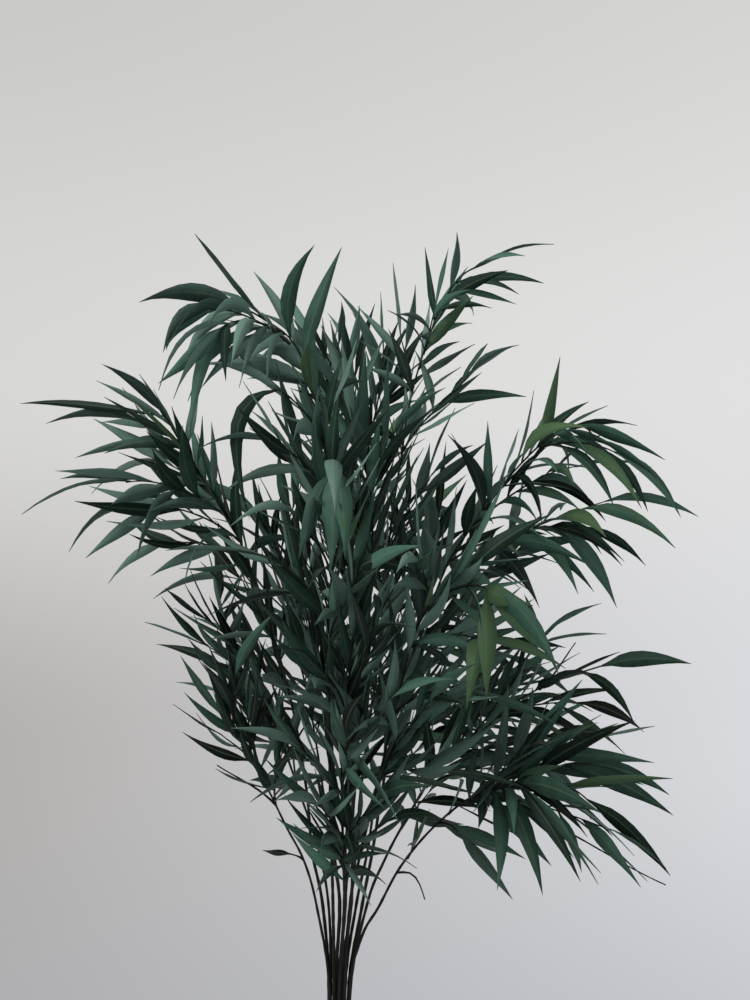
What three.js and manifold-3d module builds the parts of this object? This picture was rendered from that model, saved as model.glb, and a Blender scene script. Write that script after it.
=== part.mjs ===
// Vase of preserved nicholii eucalyptus: sixteen leafy stems standing in a plain ceramic bottle vase.
// Millimetres, +Z up. The origin is the centre of the vase's foot, and the bunch is seen from -Y.

import * as THREE from "three";
import { mergeVertices } from "three/addons/utils/BufferGeometryUtils.js";
import Module from "manifold-3d";

const wasm = await Module();
wasm.setup();

// Vase
const VASE_HEIGHT = 225;
const FOOT_RADIUS = 43;
const BELLY_RADIUS = 62;
const BELLY_HEIGHT = 76;
const SHOULDER_IN = 0.52;
const SHOULDER_UP = 0.55;
const NECK_RADIUS = 18.6;
const NECK_HEIGHT = 205;
const LIP_RADIUS = 22;
const WALL = 4.6;
const FOOT_ROUND = 3;
const VASE_SIDES = 24;
const VASE_RINGS = 7;

// Bundle: the stems cross the neck in two rings and spread again on the vase's floor
const OUTER_RING = 9.4;
const INNER_RING = 4.2;
const WAIST_HEIGHT = 245;
const FLOOR_SPREAD = 1.9;
const FLOOR_GAP = 0.6;

// Wood
const STEM_RADIUS = 1.75;
const STEM_TIP_RADIUS = 1.0;
const TWIG_RADIUS = 1.35;
const TWIG_TIP_RADIUS = 1.0;
const TWIG_BARE = 0.12;
const STEM_SIDES = 3;
const TWIG_SIDES = 3;
const STEM_STEP = 44;
const TWIG_STEP = 50;
const FRAME_REACH = 8;
const WOOD_SPACING = 4.4;
const BEAD_STEP = 4;
const NUDGE = 3.2;
const NUDGES = 40;
const STEM_SAMPLES = 240;
const BRANCH_SAMPLES = 40;
const BRANCH_LEAVES = 0.35;
const BRANCH_ARRIVES = 0.3;

// Leaves: a pair of numbers is the range that a draw takes its value from
const LEAF_PITCH = 18;
const LEAF_LENGTH = [60, 100];
const LEAF_SLENDERNESS = [0.1, 0.145];
const BLADE_LEAN = 0.72;
const BLADE_POINT = 1.2;
const LEAF_THICKNESS = 1.2;
const LEAF_RIDGE = 0.65;
const LEAF_STATIONS = [0, 0.22, 0.58, 1];
const LEAF_SINK = 4;
const LEAF_MARGIN = 0.5;
const FREE_MARGIN = 0.1;
const LEAF_FREE = 0.18;
const LEAF_CHOICES = 12;
const CHOICE_TURN = 1.1;
const TURN_DRIFT = [-0.6, 0.6];
const FOOT_OPENING = 0.85;
const HEAD_OPENING = 0.5;
const OPENING_DRIFT = [0.35, 1.6];
const END_OPENING = [0.05, 0.25];
const LEAF_SAG = [0.3, 0.9];
const SAG_BY_FLATNESS = [0.3, 1.1];
const LEAF_SWAY = [-0.6, 0.6];
const LEAF_ROLL = [0.3, 2.8];
const LEAF_TWIST = [-0.6, 0.6];
const BEND_PLACE = 0.42;
const BEND_REACH = 0.6;
const SEED = 30;

const GOLDEN_ANGLE = Math.PI * (3 - Math.sqrt(5));
const UP = new THREE.Vector3(0, 0, 1);

// Each stem: its ring and its turn in the bundle in degrees, the share of its length where leaves
// begin, the size of its leaves, and the points it grows through above the vase. Each branch leaves
// the stem at a share of its length, runs to its tip, rises in an arch on the way, and carries
// leaves of a given size, or none where it is a bare dry twig. Leaves sag by one measure where
// nothing is said, and by more, or upwards, where hang says so.
const STEMS = [
  {
    name: "right_low", ring: OUTER_RING, turn: 0, leafy: 0.66, leaf: 0.9,
    route: [
      [25, 5, 325], [40, 15, 360], [60, 25, 395], [90, 35, 440],
      [130, 35, 475], [165, 30, 505], [200, 20, 525], [240, 10, 540],
    ],
    branches: [
      { from: 0.76, tip: [190, 45, 565], arch: 0, leaf: 0.8, hang: 0.6 },
      { from: 0.83, tip: [225, 45, 500], arch: 5, leaf: 0.8 },
      { from: 0.7, tip: [195, 60, 465], arch: 8, leaf: 0.95, hang: 0.6 },
      { from: 0.66, tip: [110, 60, 470], arch: 0, leaf: 0.85 },
      { from: 0.9, tip: [215, 15, 560], arch: 0, leaf: 0 },
      { from: 0.61, tip: [85, 60, 415], arch: 0, leaf: 0.8 },
      { from: 0.68, tip: [150, 65, 435], arch: 5, leaf: 0.9 },
      { from: 0.72, tip: [150, 60, 510], arch: 0, leaf: 0.9 },
    ],
  },
  {
    name: "right_arch", ring: OUTER_RING, turn: 30, leafy: 0.75, leaf: 1, hang: 2,
    route: [
      [20, 10, 320], [30, 20, 370], [40, 30, 430], [55, 35, 505], [80, 30, 580], [100, 15, 635],
      [130, 0, 680], [155, -15, 715], [185, -30, 745], [210, -40, 755], [225, -45, 740],
    ],
    branches: [
      { from: 0.73, tip: [240, -15, 690], arch: 10, leaf: 1, hang: 1.5 },
      { from: 0.77, tip: [220, 10, 665], arch: 12, leaf: 1.05, hang: 2.8 },
      { from: 0.82, tip: [215, -10, 720], arch: 15, leaf: 0.9, hang: 2 },
      { from: 0.87, tip: [200, -25, 750], arch: 5, leaf: 0.85, hang: 1.8 },
      { from: 0.93, tip: [240, -50, 730], arch: 10, leaf: 1.05, hang: 2.4 },
      { from: 0.69, tip: [155, 30, 635], arch: 5, leaf: 0.9 },
      { from: 0.6, tip: [105, 60, 555], arch: 0, leaf: 0.85 },
    ],
  },
  {
    name: "back_right", ring: OUTER_RING, turn: 60, leafy: 0.68, leaf: 0.9,
    route: [
      [15, 20, 320], [25, 50, 360], [35, 90, 415], [55, 120, 490],
      [75, 140, 560], [90, 150, 620], [95, 150, 665],
    ],
    branches: [
      { from: 0.74, tip: [130, 150, 580], arch: 0, leaf: 0.9 },
      { from: 0.83, tip: [135, 165, 630], arch: 5, leaf: 0.85 },
      { from: 0.92, tip: [65, 190, 660], arch: 0, leaf: 0.9 },
      { from: 0.8, tip: [165, 150, 530], arch: 15, leaf: 0.9 },
      { from: 0.65, tip: [125, 110, 490], arch: 10, leaf: 0.9 },
      { from: 0.59, tip: [80, 110, 450], arch: 0, leaf: 0.85 },
      { from: 0.68, tip: [180, 130, 490], arch: 10, leaf: 0.9 },
    ],
  },
  {
    name: "back", ring: OUTER_RING, turn: 90, leafy: 0.65, leaf: 0.9,
    route: [
      [10, 25, 315], [10, 70, 355], [10, 120, 410], [15, 160, 485],
      [15, 180, 565], [15, 185, 635], [15, 185, 700],
    ],
    branches: [
      { from: 0.68, tip: [70, 190, 565], arch: 0, leaf: 0.9 },
      { from: 0.75, tip: [-45, 210, 585], arch: 10, leaf: 0.9 },
      { from: 0.85, tip: [80, 220, 670], arch: 10, leaf: 0.9 },
      { from: 0.91, tip: [-15, 225, 725], arch: 0, leaf: 0.9 },
      { from: 0.96, tip: [45, 200, 755], arch: 0, leaf: 0.9 },
      { from: 0.6, tip: [-20, 150, 485], arch: 0, leaf: 0.85 },
      { from: 0.61, tip: [45, 160, 495], arch: 0, leaf: 0.85 },
    ],
  },
  {
    name: "back_left", ring: OUTER_RING, turn: 120, leafy: 0.67, leaf: 0.9,
    route: [
      [0, 20, 320], [-10, 55, 360], [-20, 95, 415], [-35, 130, 490],
      [-55, 150, 565], [-65, 150, 630], [-85, 140, 670],
    ],
    branches: [
      { from: 0.7, tip: [-100, 140, 540], arch: 5, leaf: 0.9 },
      { from: 0.79, tip: [-45, 185, 615], arch: 0, leaf: 0.9 },
      { from: 0.85, tip: [-120, 170, 610], arch: 10, leaf: 0.95 },
      { from: 0.93, tip: [-45, 190, 710], arch: 0, leaf: 0.9 },
      { from: 0.62, tip: [-70, 115, 485], arch: 0, leaf: 0.85 },
    ],
  },
  {
    name: "left_mid", ring: OUTER_RING, turn: 150, leafy: 0.76, leaf: 0.8, hang: 0,
    route: [
      [-10, 10, 320], [-20, 30, 365], [-40, 45, 420], [-60, 55, 470],
      [-80, 55, 515], [-100, 45, 555], [-125, 35, 580],
    ],
    branches: [
      { from: 0.81, tip: [-115, 80, 530], arch: 5, leaf: 0.8 },
      { from: 0.87, tip: [-135, 60, 555], arch: 5, leaf: 0.8, hang: 0.3 },
      { from: 0.95, tip: [-120, 90, 600], arch: 0, leaf: 0.85, hang: 0.2 },
      { from: 0.76, tip: [-100, 60, 500], arch: 0, leaf: 0.85 },
      { from: 0.68, tip: [-65, 80, 480], arch: 0, leaf: 0.8 },
    ],
  },
  {
    name: "left_high", ring: OUTER_RING, turn: 180, leafy: 0.77, leaf: 1, hang: 1.7,
    route: [
      [-15, 0, 325], [-25, 10, 370], [-30, 10, 425], [-40, 5, 490], [-55, -5, 555],
      [-75, -15, 620], [-95, -20, 670], [-120, -25, 710], [-145, -30, 745], [-170, -30, 755],
    ],
    branches: [
      { from: 0.83, tip: [-170, -40, 685], arch: 12, leaf: 1.05, hang: 2.2 },
      { from: 0.8, tip: [-155, -10, 650], arch: 12, leaf: 0.9, hang: 1.8 },
      { from: 0.86, tip: [-180, -60, 705], arch: 15, leaf: 1.05, hang: 2.2 },
      { from: 0.88, tip: [-160, 0, 725], arch: 5, leaf: 0.95, hang: 1.8 },
      { from: 0.92, tip: [-150, -50, 765], arch: 0, leaf: 0.9, hang: 1.2 },
      { from: 0.71, tip: [-85, 10, 615], arch: 0, leaf: 0.9 },
      { from: 0.64, tip: [-70, 20, 590], arch: 0, leaf: 0.9 },
    ],
  },
  {
    name: "left_low", ring: OUTER_RING, turn: 210, leafy: 0.83, leaf: 0.75, hang: -0.3,
    route: [
      [-20, -5, 325], [-35, -10, 365], [-50, -25, 400], [-65, -35, 435],
      [-80, -45, 465], [-90, -50, 490], [-105, -55, 505],
    ],
    branches: [
      { from: 0.85, tip: [-80, -60, 520], arch: 0, leaf: 0.8, hang: 0.6 },
      { from: 0.9, tip: [-105, -25, 485], arch: 0, leaf: 0.75, hang: -0.3 },
      { from: 0.95, tip: [-85, -75, 545], arch: 0, leaf: 0.8, hang: 0.2 },
      { from: 0.69, tip: [-45, -10, 375], arch: 0, leaf: 0.68, hang: 0 },
      { from: 0.81, tip: [-105, -40, 460], arch: 0, leaf: 0 },
      { from: 0.81, tip: [-45, -60, 485], arch: 0, leaf: 0.8 },
    ],
  },
  {
    name: "left_arch_front", ring: OUTER_RING, turn: 240, leafy: 0.67, leaf: 1, hang: 2.6,
    route: [
      [-5, -25, 335], [-5, -60, 390], [-5, -95, 460], [-5, -120, 530], [-5, -135, 595], [0, -145, 660],
      [-5, -150, 720], [-15, -155, 770], [-30, -160, 810], [-55, -160, 830], [-75, -165, 840],
    ],
    branches: [
      { from: 0.69, tip: [-50, -150, 645], arch: 10, leaf: 0.95 },
      { from: 0.76, tip: [0, -195, 715], arch: 30, leaf: 1, hang: 4 },
      { from: 0.8, tip: [-50, -165, 735], arch: 10, leaf: 0.95, hang: 1.4 },
      { from: 0.85, tip: [-45, -170, 775], arch: 10, leaf: 0.95, hang: 2 },
      { from: 0.94, tip: [-90, -175, 835], arch: 8, leaf: 1.05, hang: 5 },
      { from: 0.95, tip: [-80, -190, 820], arch: 10, leaf: 1, hang: 5 },
      { from: 0.62, tip: [-30, -150, 580], arch: 0, leaf: 0.9 },
      { from: 0.67, tip: [20, -175, 635], arch: 0, leaf: 0.9 },
      { from: 0.73, tip: [-25, -170, 675], arch: 5, leaf: 0.95, hang: 2 },
    ],
  },
  {
    name: "front", ring: OUTER_RING, turn: 270, leafy: 0.54, leaf: 0.85,
    route: [
      [5, -30, 335], [5, -65, 395], [5, -100, 460],
      [10, -130, 530], [15, -150, 595], [15, -170, 645],
    ],
    branches: [
      { from: 0.53, tip: [5, -80, 400], arch: 5, leaf: 0.75, hang: 3.5 },
      { from: 0.59, tip: [35, -120, 450], arch: 5, leaf: 0.85 },
      { from: 0.6, tip: [-15, -130, 450], arch: 5, leaf: 0.85 },
      { from: 0.74, tip: [45, -170, 540], arch: 5, leaf: 0.9 },
      { from: 0.8, tip: [-15, -180, 570], arch: 5, leaf: 0.9 },
      { from: 0.68, tip: [10, -155, 505], arch: 0, leaf: 0.85 },
      { from: 0.56, tip: [20, -95, 415], arch: 0, leaf: 0.75 },
      { from: 0.57, tip: [-10, -85, 410], arch: 0, leaf: 0.75 },
      { from: 0.68, tip: [-30, -125, 495], arch: 0, leaf: 0.85 },
      { from: 0.8, tip: [30, -185, 585], arch: 0, leaf: 0.9 },
    ],
  },
  {
    name: "right_front", ring: OUTER_RING, turn: 300, leafy: 0.67, leaf: 0.95, hang: 1.5,
    route: [
      [10, -25, 335], [20, -60, 390], [35, -95, 460], [50, -120, 530],
      [65, -140, 590], [85, -150, 620], [105, -160, 635],
    ],
    branches: [
      { from: 0.7, tip: [85, -115, 470], arch: 5, leaf: 0.85 },
      { from: 0.79, tip: [105, -140, 540], arch: 15, leaf: 0.95 },
      { from: 0.88, tip: [115, -145, 580], arch: 10, leaf: 0.95 },
      { from: 0.93, tip: [65, -190, 645], arch: 0, leaf: 0.9 },
      { from: 0.96, tip: [120, -170, 620], arch: 10, leaf: 1, hang: 3.5 },
      { from: 0.6, tip: [45, -85, 425], arch: 0, leaf: 0.8 },
      { from: 0.7, tip: [75, -150, 535], arch: 0, leaf: 0.9 },
    ],
  },
  {
    name: "right_droop", ring: OUTER_RING, turn: 330, leafy: 0.78, leaf: 1, hang: 1.2,
    route: [
      [20, -10, 300], [35, -20, 330], [55, -30, 370], [85, -45, 410],
      [120, -60, 440], [160, -75, 450], [195, -85, 450], [210, -90, 440],
    ],
    branches: [
      { from: 0.75, tip: [105, -60, 405], arch: 4, leaf: 0.85 },
      { from: 0.77, tip: [110, -50, 430], arch: 5, leaf: 0.85, hang: 2 },
      { from: 0.82, tip: [200, -40, 475], arch: 10, leaf: 1, hang: 0.7 },
      { from: 0.85, tip: [215, -60, 465], arch: 12, leaf: 1 },
      { from: 0.85, tip: [155, -120, 455], arch: 15, leaf: 1.1, hang: 2 },
      { from: 0.82, tip: [225, -100, 420], arch: 5, leaf: 0.9, hang: 1.2 },
      { from: 0.81, tip: [270, -100, 375], arch: 0, leaf: 0 },
      { from: 0.64, tip: [75, -45, 345], arch: 20, leaf: 0 },
      { from: 0.81, tip: [130, -70, 465], arch: 0, leaf: 0.95 },
      { from: 0.82, tip: [150, -105, 485], arch: 5, leaf: 0.95 },
      { from: 0.67, tip: [65, -55, 395], arch: 0, leaf: 0.8, hang: 0.6 },
    ],
  },
  {
    name: "top_right", ring: INNER_RING, turn: 20, leafy: 0.55, leaf: 0.75,
    route: [
      [10, 5, 325], [15, 10, 375], [20, 10, 435], [30, 10, 510], [40, 10, 580], [45, 5, 655],
      [55, 5, 725], [65, 0, 785], [80, -5, 835], [95, -10, 870], [110, -15, 890], [130, -20, 900],
    ],
    branches: [
      { from: 0.61, tip: [80, 30, 635], arch: 0, leaf: 0.85 },
      { from: 0.69, tip: [85, 25, 715], arch: 0, leaf: 0.85 },
      { from: 0.79, tip: [115, -10, 800], arch: 0, leaf: 0.8 },
      { from: 0.85, tip: [55, 10, 840], arch: 0, leaf: 0.72, hang: 0.3 },
      { from: 0.95, tip: [115, -5, 885], arch: 0, leaf: 0.75 },
      { from: 0.89, tip: [85, -30, 860], arch: 0, leaf: 0.75 },
    ],
  },
  {
    name: "top_back", ring: INNER_RING, turn: 110, leafy: 0.6, leaf: 0.85,
    route: [
      [5, 10, 320], [5, 20, 370], [10, 35, 430], [15, 50, 500], [20, 60, 575],
      [25, 60, 650], [25, 55, 730], [35, 45, 785], [40, 35, 830],
    ],
    branches: [
      { from: 0.71, tip: [-15, 90, 690], arch: 0, leaf: 0.9 },
      { from: 0.81, tip: [60, 80, 750], arch: 0, leaf: 0.85 },
      { from: 0.89, tip: [10, 70, 820], arch: 0, leaf: 0.8 },
      { from: 0.92, tip: [55, 60, 800], arch: 0, leaf: 0.8 },
      { from: 0.66, tip: [5, 100, 630], arch: 0, leaf: 0.9 },
    ],
  },
  {
    name: "top_left", ring: INNER_RING, turn: 200, leafy: 0.54, leaf: 0.9,
    route: [
      [0, 0, 325], [-5, 5, 375], [-5, 10, 435], [-10, 15, 510], [-10, 20, 580],
      [-5, 20, 655], [0, 15, 715], [-5, 10, 780], [-25, 0, 825],
    ],
    branches: [
      { from: 0.7, tip: [-45, 40, 655], arch: 0, leaf: 0.9 },
      { from: 0.79, tip: [-50, 50, 740], arch: 5, leaf: 0.9 },
      { from: 0.88, tip: [-40, 30, 800], arch: 5, leaf: 0.9 },
      { from: 0.91, tip: [10, -10, 810], arch: 0, leaf: 0.8 },
      { from: 0.93, tip: [-40, -15, 825], arch: 0, leaf: 0.8, hang: 0.8 },
      { from: 0.96, tip: [0, -10, 830], arch: 0, leaf: 0.75, hang: 0.6 },
      { from: 0.61, tip: [-35, 40, 580], arch: 0, leaf: 0.9 },
    ],
  },
  {
    name: "top_front", ring: INNER_RING, turn: 290, leafy: 0.57, leaf: 0.9,
    route: [
      [5, -10, 330], [10, -20, 380], [15, -30, 445], [20, -45, 515],
      [25, -50, 585], [30, -55, 655], [25, -50, 715], [10, -40, 775],
    ],
    branches: [
      { from: 0.72, tip: [55, -80, 630], arch: 0, leaf: 0.85 },
      { from: 0.82, tip: [-15, -90, 705], arch: 5, leaf: 0.95 },
      { from: 0.89, tip: [50, -70, 750], arch: 0, leaf: 0.9 },
      { from: 0.92, tip: [0, -65, 785], arch: 0, leaf: 0.9 },
      { from: 0.59, tip: [55, -60, 530], arch: 0, leaf: 0.9 },
      { from: 0.62, tip: [-5, -80, 530], arch: 0, leaf: 0.9 },
    ],
  },
];

const CERAMIC = new THREE.MeshStandardMaterial({ color: 0xd9d5cb, roughness: 0.45, metalness: 0 });
const FOLIAGE = new THREE.MeshStandardMaterial({ color: 0x33493c, roughness: 0.6, metalness: 0 });

// A number from 0 to 1 that is always the same for the same whole-number keys.
function draw(...keys) {
  let hash = 2166136261;
  for (const key of keys) {
    hash = Math.imul(hash ^ key, 16777619);
    hash ^= hash >>> 15;
    hash = Math.imul(hash, 2246822519);
    hash ^= hash >>> 13;
  }
  return (hash >>> 0) / 4294967296;
}

function mix(a, b, share) {
  return a + (b - a) * share;
}

function within(range, share) {
  return mix(range[0], range[1], share);
}

// A closed geometry as a solid that can be joined and cut.
function solidFrom(geometry) {
  const bare = new THREE.BufferGeometry();
  bare.setAttribute("position", geometry.getAttribute("position"));
  bare.setIndex(geometry.getIndex());
  const merged = mergeVertices(bare, 1e-4);
  return new wasm.Manifold(new wasm.Mesh({
    numProp: 3,
    vertProperties: new Float32Array(merged.getAttribute("position").array),
    triVerts: new Uint32Array(merged.getIndex().array),
  }));
}

function geometryFrom(solid) {
  const mesh = solid.getMesh();
  const geometry = new THREE.BufferGeometry();
  geometry.setAttribute("position", new THREE.BufferAttribute(mesh.vertProperties, 3));
  geometry.setIndex(new THREE.BufferAttribute(mesh.triVerts, 1));
  geometry.computeVertexNormals();
  return geometry;
}

// The body with its small sealed pockets filled and its loose scraps left out.
function wholeBody(solid) {
  const shells = solid.decompose();
  return shells.reduce((best, shell) => (shell.volume() > best.volume() ? shell : best));
}

// A line as points with their distances along it.
function measured(points) {
  const distances = [0];
  for (let i = 1; i < points.length; i += 1) {
    distances.push(distances[i - 1] + points[i].distanceTo(points[i - 1]));
  }
  return { points, distances, length: distances[distances.length - 1] };
}

function pointAt(line, distance) {
  const along = Math.min(Math.max(distance, 0), line.length);
  let i = 1;
  while (i < line.points.length - 1 && line.distances[i] < along) {
    i += 1;
  }
  const share = (along - line.distances[i - 1]) / (line.distances[i] - line.distances[i - 1]);
  return line.points[i - 1].clone().lerp(line.points[i], share);
}

// A curve as a chain of equal straight spans, after one long span up to a given distance.
function chainAlong(curve, samples, step, straight) {
  const line = measured(curve.getPoints(samples));
  const spans = Math.max(2, Math.round((line.length - straight) / step));
  const points = straight > 0 ? [line.points[0]] : [];
  for (let i = 0; i <= spans; i += 1) {
    points.push(pointAt(line, mix(straight, line.length, i / spans)));
  }
  return measured(points);
}

// Place, direction and two cross directions at a distance along a line.
function frameAt(line, distance) {
  const point = pointAt(line, distance);
  const ahead = pointAt(line, distance + FRAME_REACH);
  const behind = pointAt(line, distance - FRAME_REACH);
  const along = ahead.sub(behind).normalize();
  const chord = line.points[line.points.length - 1].clone().sub(line.points[0]);
  const level = new THREE.Vector3(-chord.y, chord.x, 0).normalize();
  const over = level.clone().cross(along).normalize();
  const side = along.clone().cross(over).normalize();
  return { point, along, over, side };
}

// The vase: one turned wall, open at the lip, closed by its floor.
function vase() {
  const outline = new THREE.CatmullRomCurve3([
    new THREE.Vector3(FOOT_RADIUS, 0, FOOT_ROUND),
    new THREE.Vector3(BELLY_RADIUS, 0, BELLY_HEIGHT),
    new THREE.Vector3(
      mix(BELLY_RADIUS, NECK_RADIUS, SHOULDER_IN),
      0,
      mix(BELLY_HEIGHT, NECK_HEIGHT, SHOULDER_UP),
    ),
    new THREE.Vector3(NECK_RADIUS, 0, NECK_HEIGHT),
    new THREE.Vector3(LIP_RADIUS, 0, VASE_HEIGHT),
  ], false, "catmullrom", 0.5);
  const outer = [];
  const inner = [];
  for (let i = 0; i <= VASE_RINGS; i += 1) {
    const point = outline.getPoint(i / VASE_RINGS);
    const slope = outline.getTangent(i / VASE_RINGS);
    outer.push(new THREE.Vector2(point.x, point.z));
    if (i > 0) {
      inner.unshift(new THREE.Vector2(point.x - slope.z * WALL, point.z + slope.x * WALL));
    }
  }
  inner[0].y = VASE_HEIGHT;
  const profile = [
    new THREE.Vector2(0, 0),
    new THREE.Vector2(FOOT_RADIUS - FOOT_ROUND, 0),
    ...outer,
    ...inner,
    new THREE.Vector2(FOOT_RADIUS - WALL, floorHeight()),
    new THREE.Vector2(0, floorHeight()),
  ];
  return new THREE.LatheGeometry(profile, VASE_SIDES);
}

function floorHeight() {
  return WALL + FOOT_ROUND;
}

// A stem: from the floor to the waist above the lip, then along its own route.
function stemLine(row, shift) {
  const turn = THREE.MathUtils.degToRad(row.turn);
  const across = new THREE.Vector3(Math.cos(turn), Math.sin(turn), 0).multiplyScalar(row.ring);
  const bottom = floorHeight() + FLOOR_GAP;
  const foot = across.clone().multiplyScalar(FLOOR_SPREAD).setZ(bottom);
  const waist = across.clone().setZ(WAIST_HEIGHT);
  const route = row.route.map((place, i) => {
    const point = new THREE.Vector3(...place);
    return i > 0 ? point.add(shift) : point;
  });
  const points = [foot, foot.clone().lerp(waist, 0.5), waist, ...route];
  const curve = new THREE.CatmullRomCurve3(points, false, "catmullrom", 0.5);
  return chainAlong(curve, STEM_SAMPLES, STEM_STEP, foot.distanceTo(waist));
}

// A branch: it leaves halfway between the stem's heading and its own, then arches over to its tip.
function branchLine(stem, row, shift) {
  const start = frameAt(stem.line, stem.line.length * row.from);
  const tip = new THREE.Vector3(...row.tip).add(shift);
  const reach = start.point.distanceTo(tip);
  const heading = tip.clone().sub(start.point).divideScalar(reach).add(start.along).normalize();
  const leave = start.point.clone().addScaledVector(heading, reach * BRANCH_LEAVES);
  const arrive = tip.clone().lerp(start.point, BRANCH_ARRIVES).addScaledVector(UP, row.arch);
  const curve = new THREE.CubicBezierCurve3(start.point, leave, arrive, tip);
  return chainAlong(curve, BRANCH_SAMPLES, TWIG_STEP, 0);
}

// A sideways shift that widens with each try.
function nudge(step) {
  const angle = step * GOLDEN_ANGLE;
  const reach = NUDGE * Math.sqrt(step);
  return new THREE.Vector3(Math.cos(angle) * reach, Math.sin(angle) * reach, 0);
}

// The first line that keeps clear of the wood of other stems.
function clearLine(stemIndex, makeLine, wood) {
  let best = null;
  let bestGap = -1;
  for (let step = 0; step < NUDGES && bestGap < WOOD_SPACING; step += 1) {
    const line = makeLine(nudge(step));
    const gap = nearestWood(stemIndex, line, wood);
    if (gap > bestGap) {
      best = line;
      bestGap = gap;
    }
  }
  return best;
}

// The least distance to the wood of other stems, up to the spacing that is wanted.
function nearestWood(stemIndex, line, wood) {
  const others = wood.filter((twig) => twig.stem !== stemIndex).flatMap((twig) => beads(twig.line));
  let nearest = WOOD_SPACING;
  for (const a of beads(line)) {
    for (const b of others) {
      nearest = Math.min(nearest, a.distanceTo(b));
    }
  }
  return nearest;
}

function beads(line) {
  const count = Math.ceil(line.length / BEAD_STEP);
  return Array.from({ length: count + 1 }, (unused, i) => pointAt(line, (line.length * i) / count));
}

// All wood: sixteen stems, then their branches.
function growWood() {
  const wood = [];
  STEMS.forEach((row, stem) => {
    const line = clearLine(stem, (shift) => stemLine(row, shift), wood);
    wood.push({
      stem, number: 0, line, leafStart: line.length * row.leafy, leaf: row.leaf, hang: row.hang ?? 1,
      radius: STEM_RADIUS, tipRadius: STEM_TIP_RADIUS, sides: STEM_SIDES,
    });
  });
  STEMS.forEach((row, stem) => {
    row.branches.forEach((branch, i) => {
      const line = clearLine(stem, (shift) => branchLine(wood[stem], branch, shift), wood);
      wood.push({
        stem, number: i + 1, line, leafStart: line.length * TWIG_BARE, leaf: branch.leaf,
        hang: branch.hang ?? 1, radius: TWIG_RADIUS, tipRadius: TWIG_TIP_RADIUS, sides: TWIG_SIDES,
      });
    });
  });
  return wood;
}

// One tapering stem or twig: a thin cylinder laid along its chain of spans.
function woodSolid(twig) {
  const { line, radius, tipRadius, sides } = twig;
  const spans = line.points.length - 1;
  const geometry = new THREE.CylinderGeometry(1, 1, 1, sides, spans);
  const positions = geometry.getAttribute("position");
  for (let i = 0; i < positions.count; i += 1) {
    const station = Math.round((positions.getY(i) + 0.5) * spans);
    const at = frameAt(line, line.distances[station]);
    const thickness = mix(radius, tipRadius, line.distances[station] / line.length);
    at.point.addScaledVector(at.side, positions.getX(i) * thickness);
    at.point.addScaledVector(at.over, positions.getZ(i) * thickness);
    positions.setXYZ(i, at.point.x, at.point.y, at.point.z);
  }
  return solidFrom(geometry);
}

// How one leaf grows: where it leaves its twig, how long and wide it is, how it bends and rolls.
function leafShape(twig, slot, slots, choice) {
  const pick = (what) => draw(SEED, twig.stem, twig.number, slot, choice, what);
  const share = slots > 1 ? slot / (slots - 1) : 1;
  const distance = mix(twig.leafStart, twig.line.length, share);
  const at = frameAt(twig.line, distance);
  const turn = slot * GOLDEN_ANGLE + choice * CHOICE_TURN + within(TURN_DRIFT, pick(1));
  const sideOpening = mix(FOOT_OPENING, HEAD_OPENING, share) * within(OPENING_DRIFT, pick(2));
  const opening = slot === slots - 1 ? within(END_OPENING, pick(2)) : sideOpening;
  const start = at.along.clone().multiplyScalar(Math.cos(opening));
  start.addScaledVector(at.side, Math.sin(opening) * Math.cos(turn));
  start.addScaledVector(at.over, Math.sin(opening) * Math.sin(turn));
  const length = within(LEAF_LENGTH, pick(3)) * twig.leaf;
  const width = length * within(LEAF_SLENDERNESS, pick(4));
  const flatness = Math.sqrt(1 - Math.min(1, start.z * start.z));
  const sag = within(LEAF_SAG, pick(5)) * within(SAG_BY_FLATNESS, flatness) * twig.hang;
  const level = new THREE.Vector3(-start.y, start.x, 0).normalize();
  const end = start.clone().addScaledVector(UP, -sag);
  end.addScaledVector(level, within(LEAF_SWAY, pick(6))).normalize();
  const middle = at.point.clone().addScaledVector(start, length * BEND_PLACE);
  const tip = middle.clone().addScaledVector(end, length * BEND_REACH);
  const roll = within(LEAF_ROLL, pick(7));
  const twist = within(LEAF_TWIST, pick(8));
  const root = pointAt(twig.line, distance - LEAF_SINK);
  return { root, middle, tip, width, roll, twist };
}

// The leaf's width at a share of its length, against its full width.
function leafOutline(share) {
  return Math.pow(Math.sin(Math.PI * Math.pow(share, BLADE_LEAN)), BLADE_POINT);
}

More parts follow.
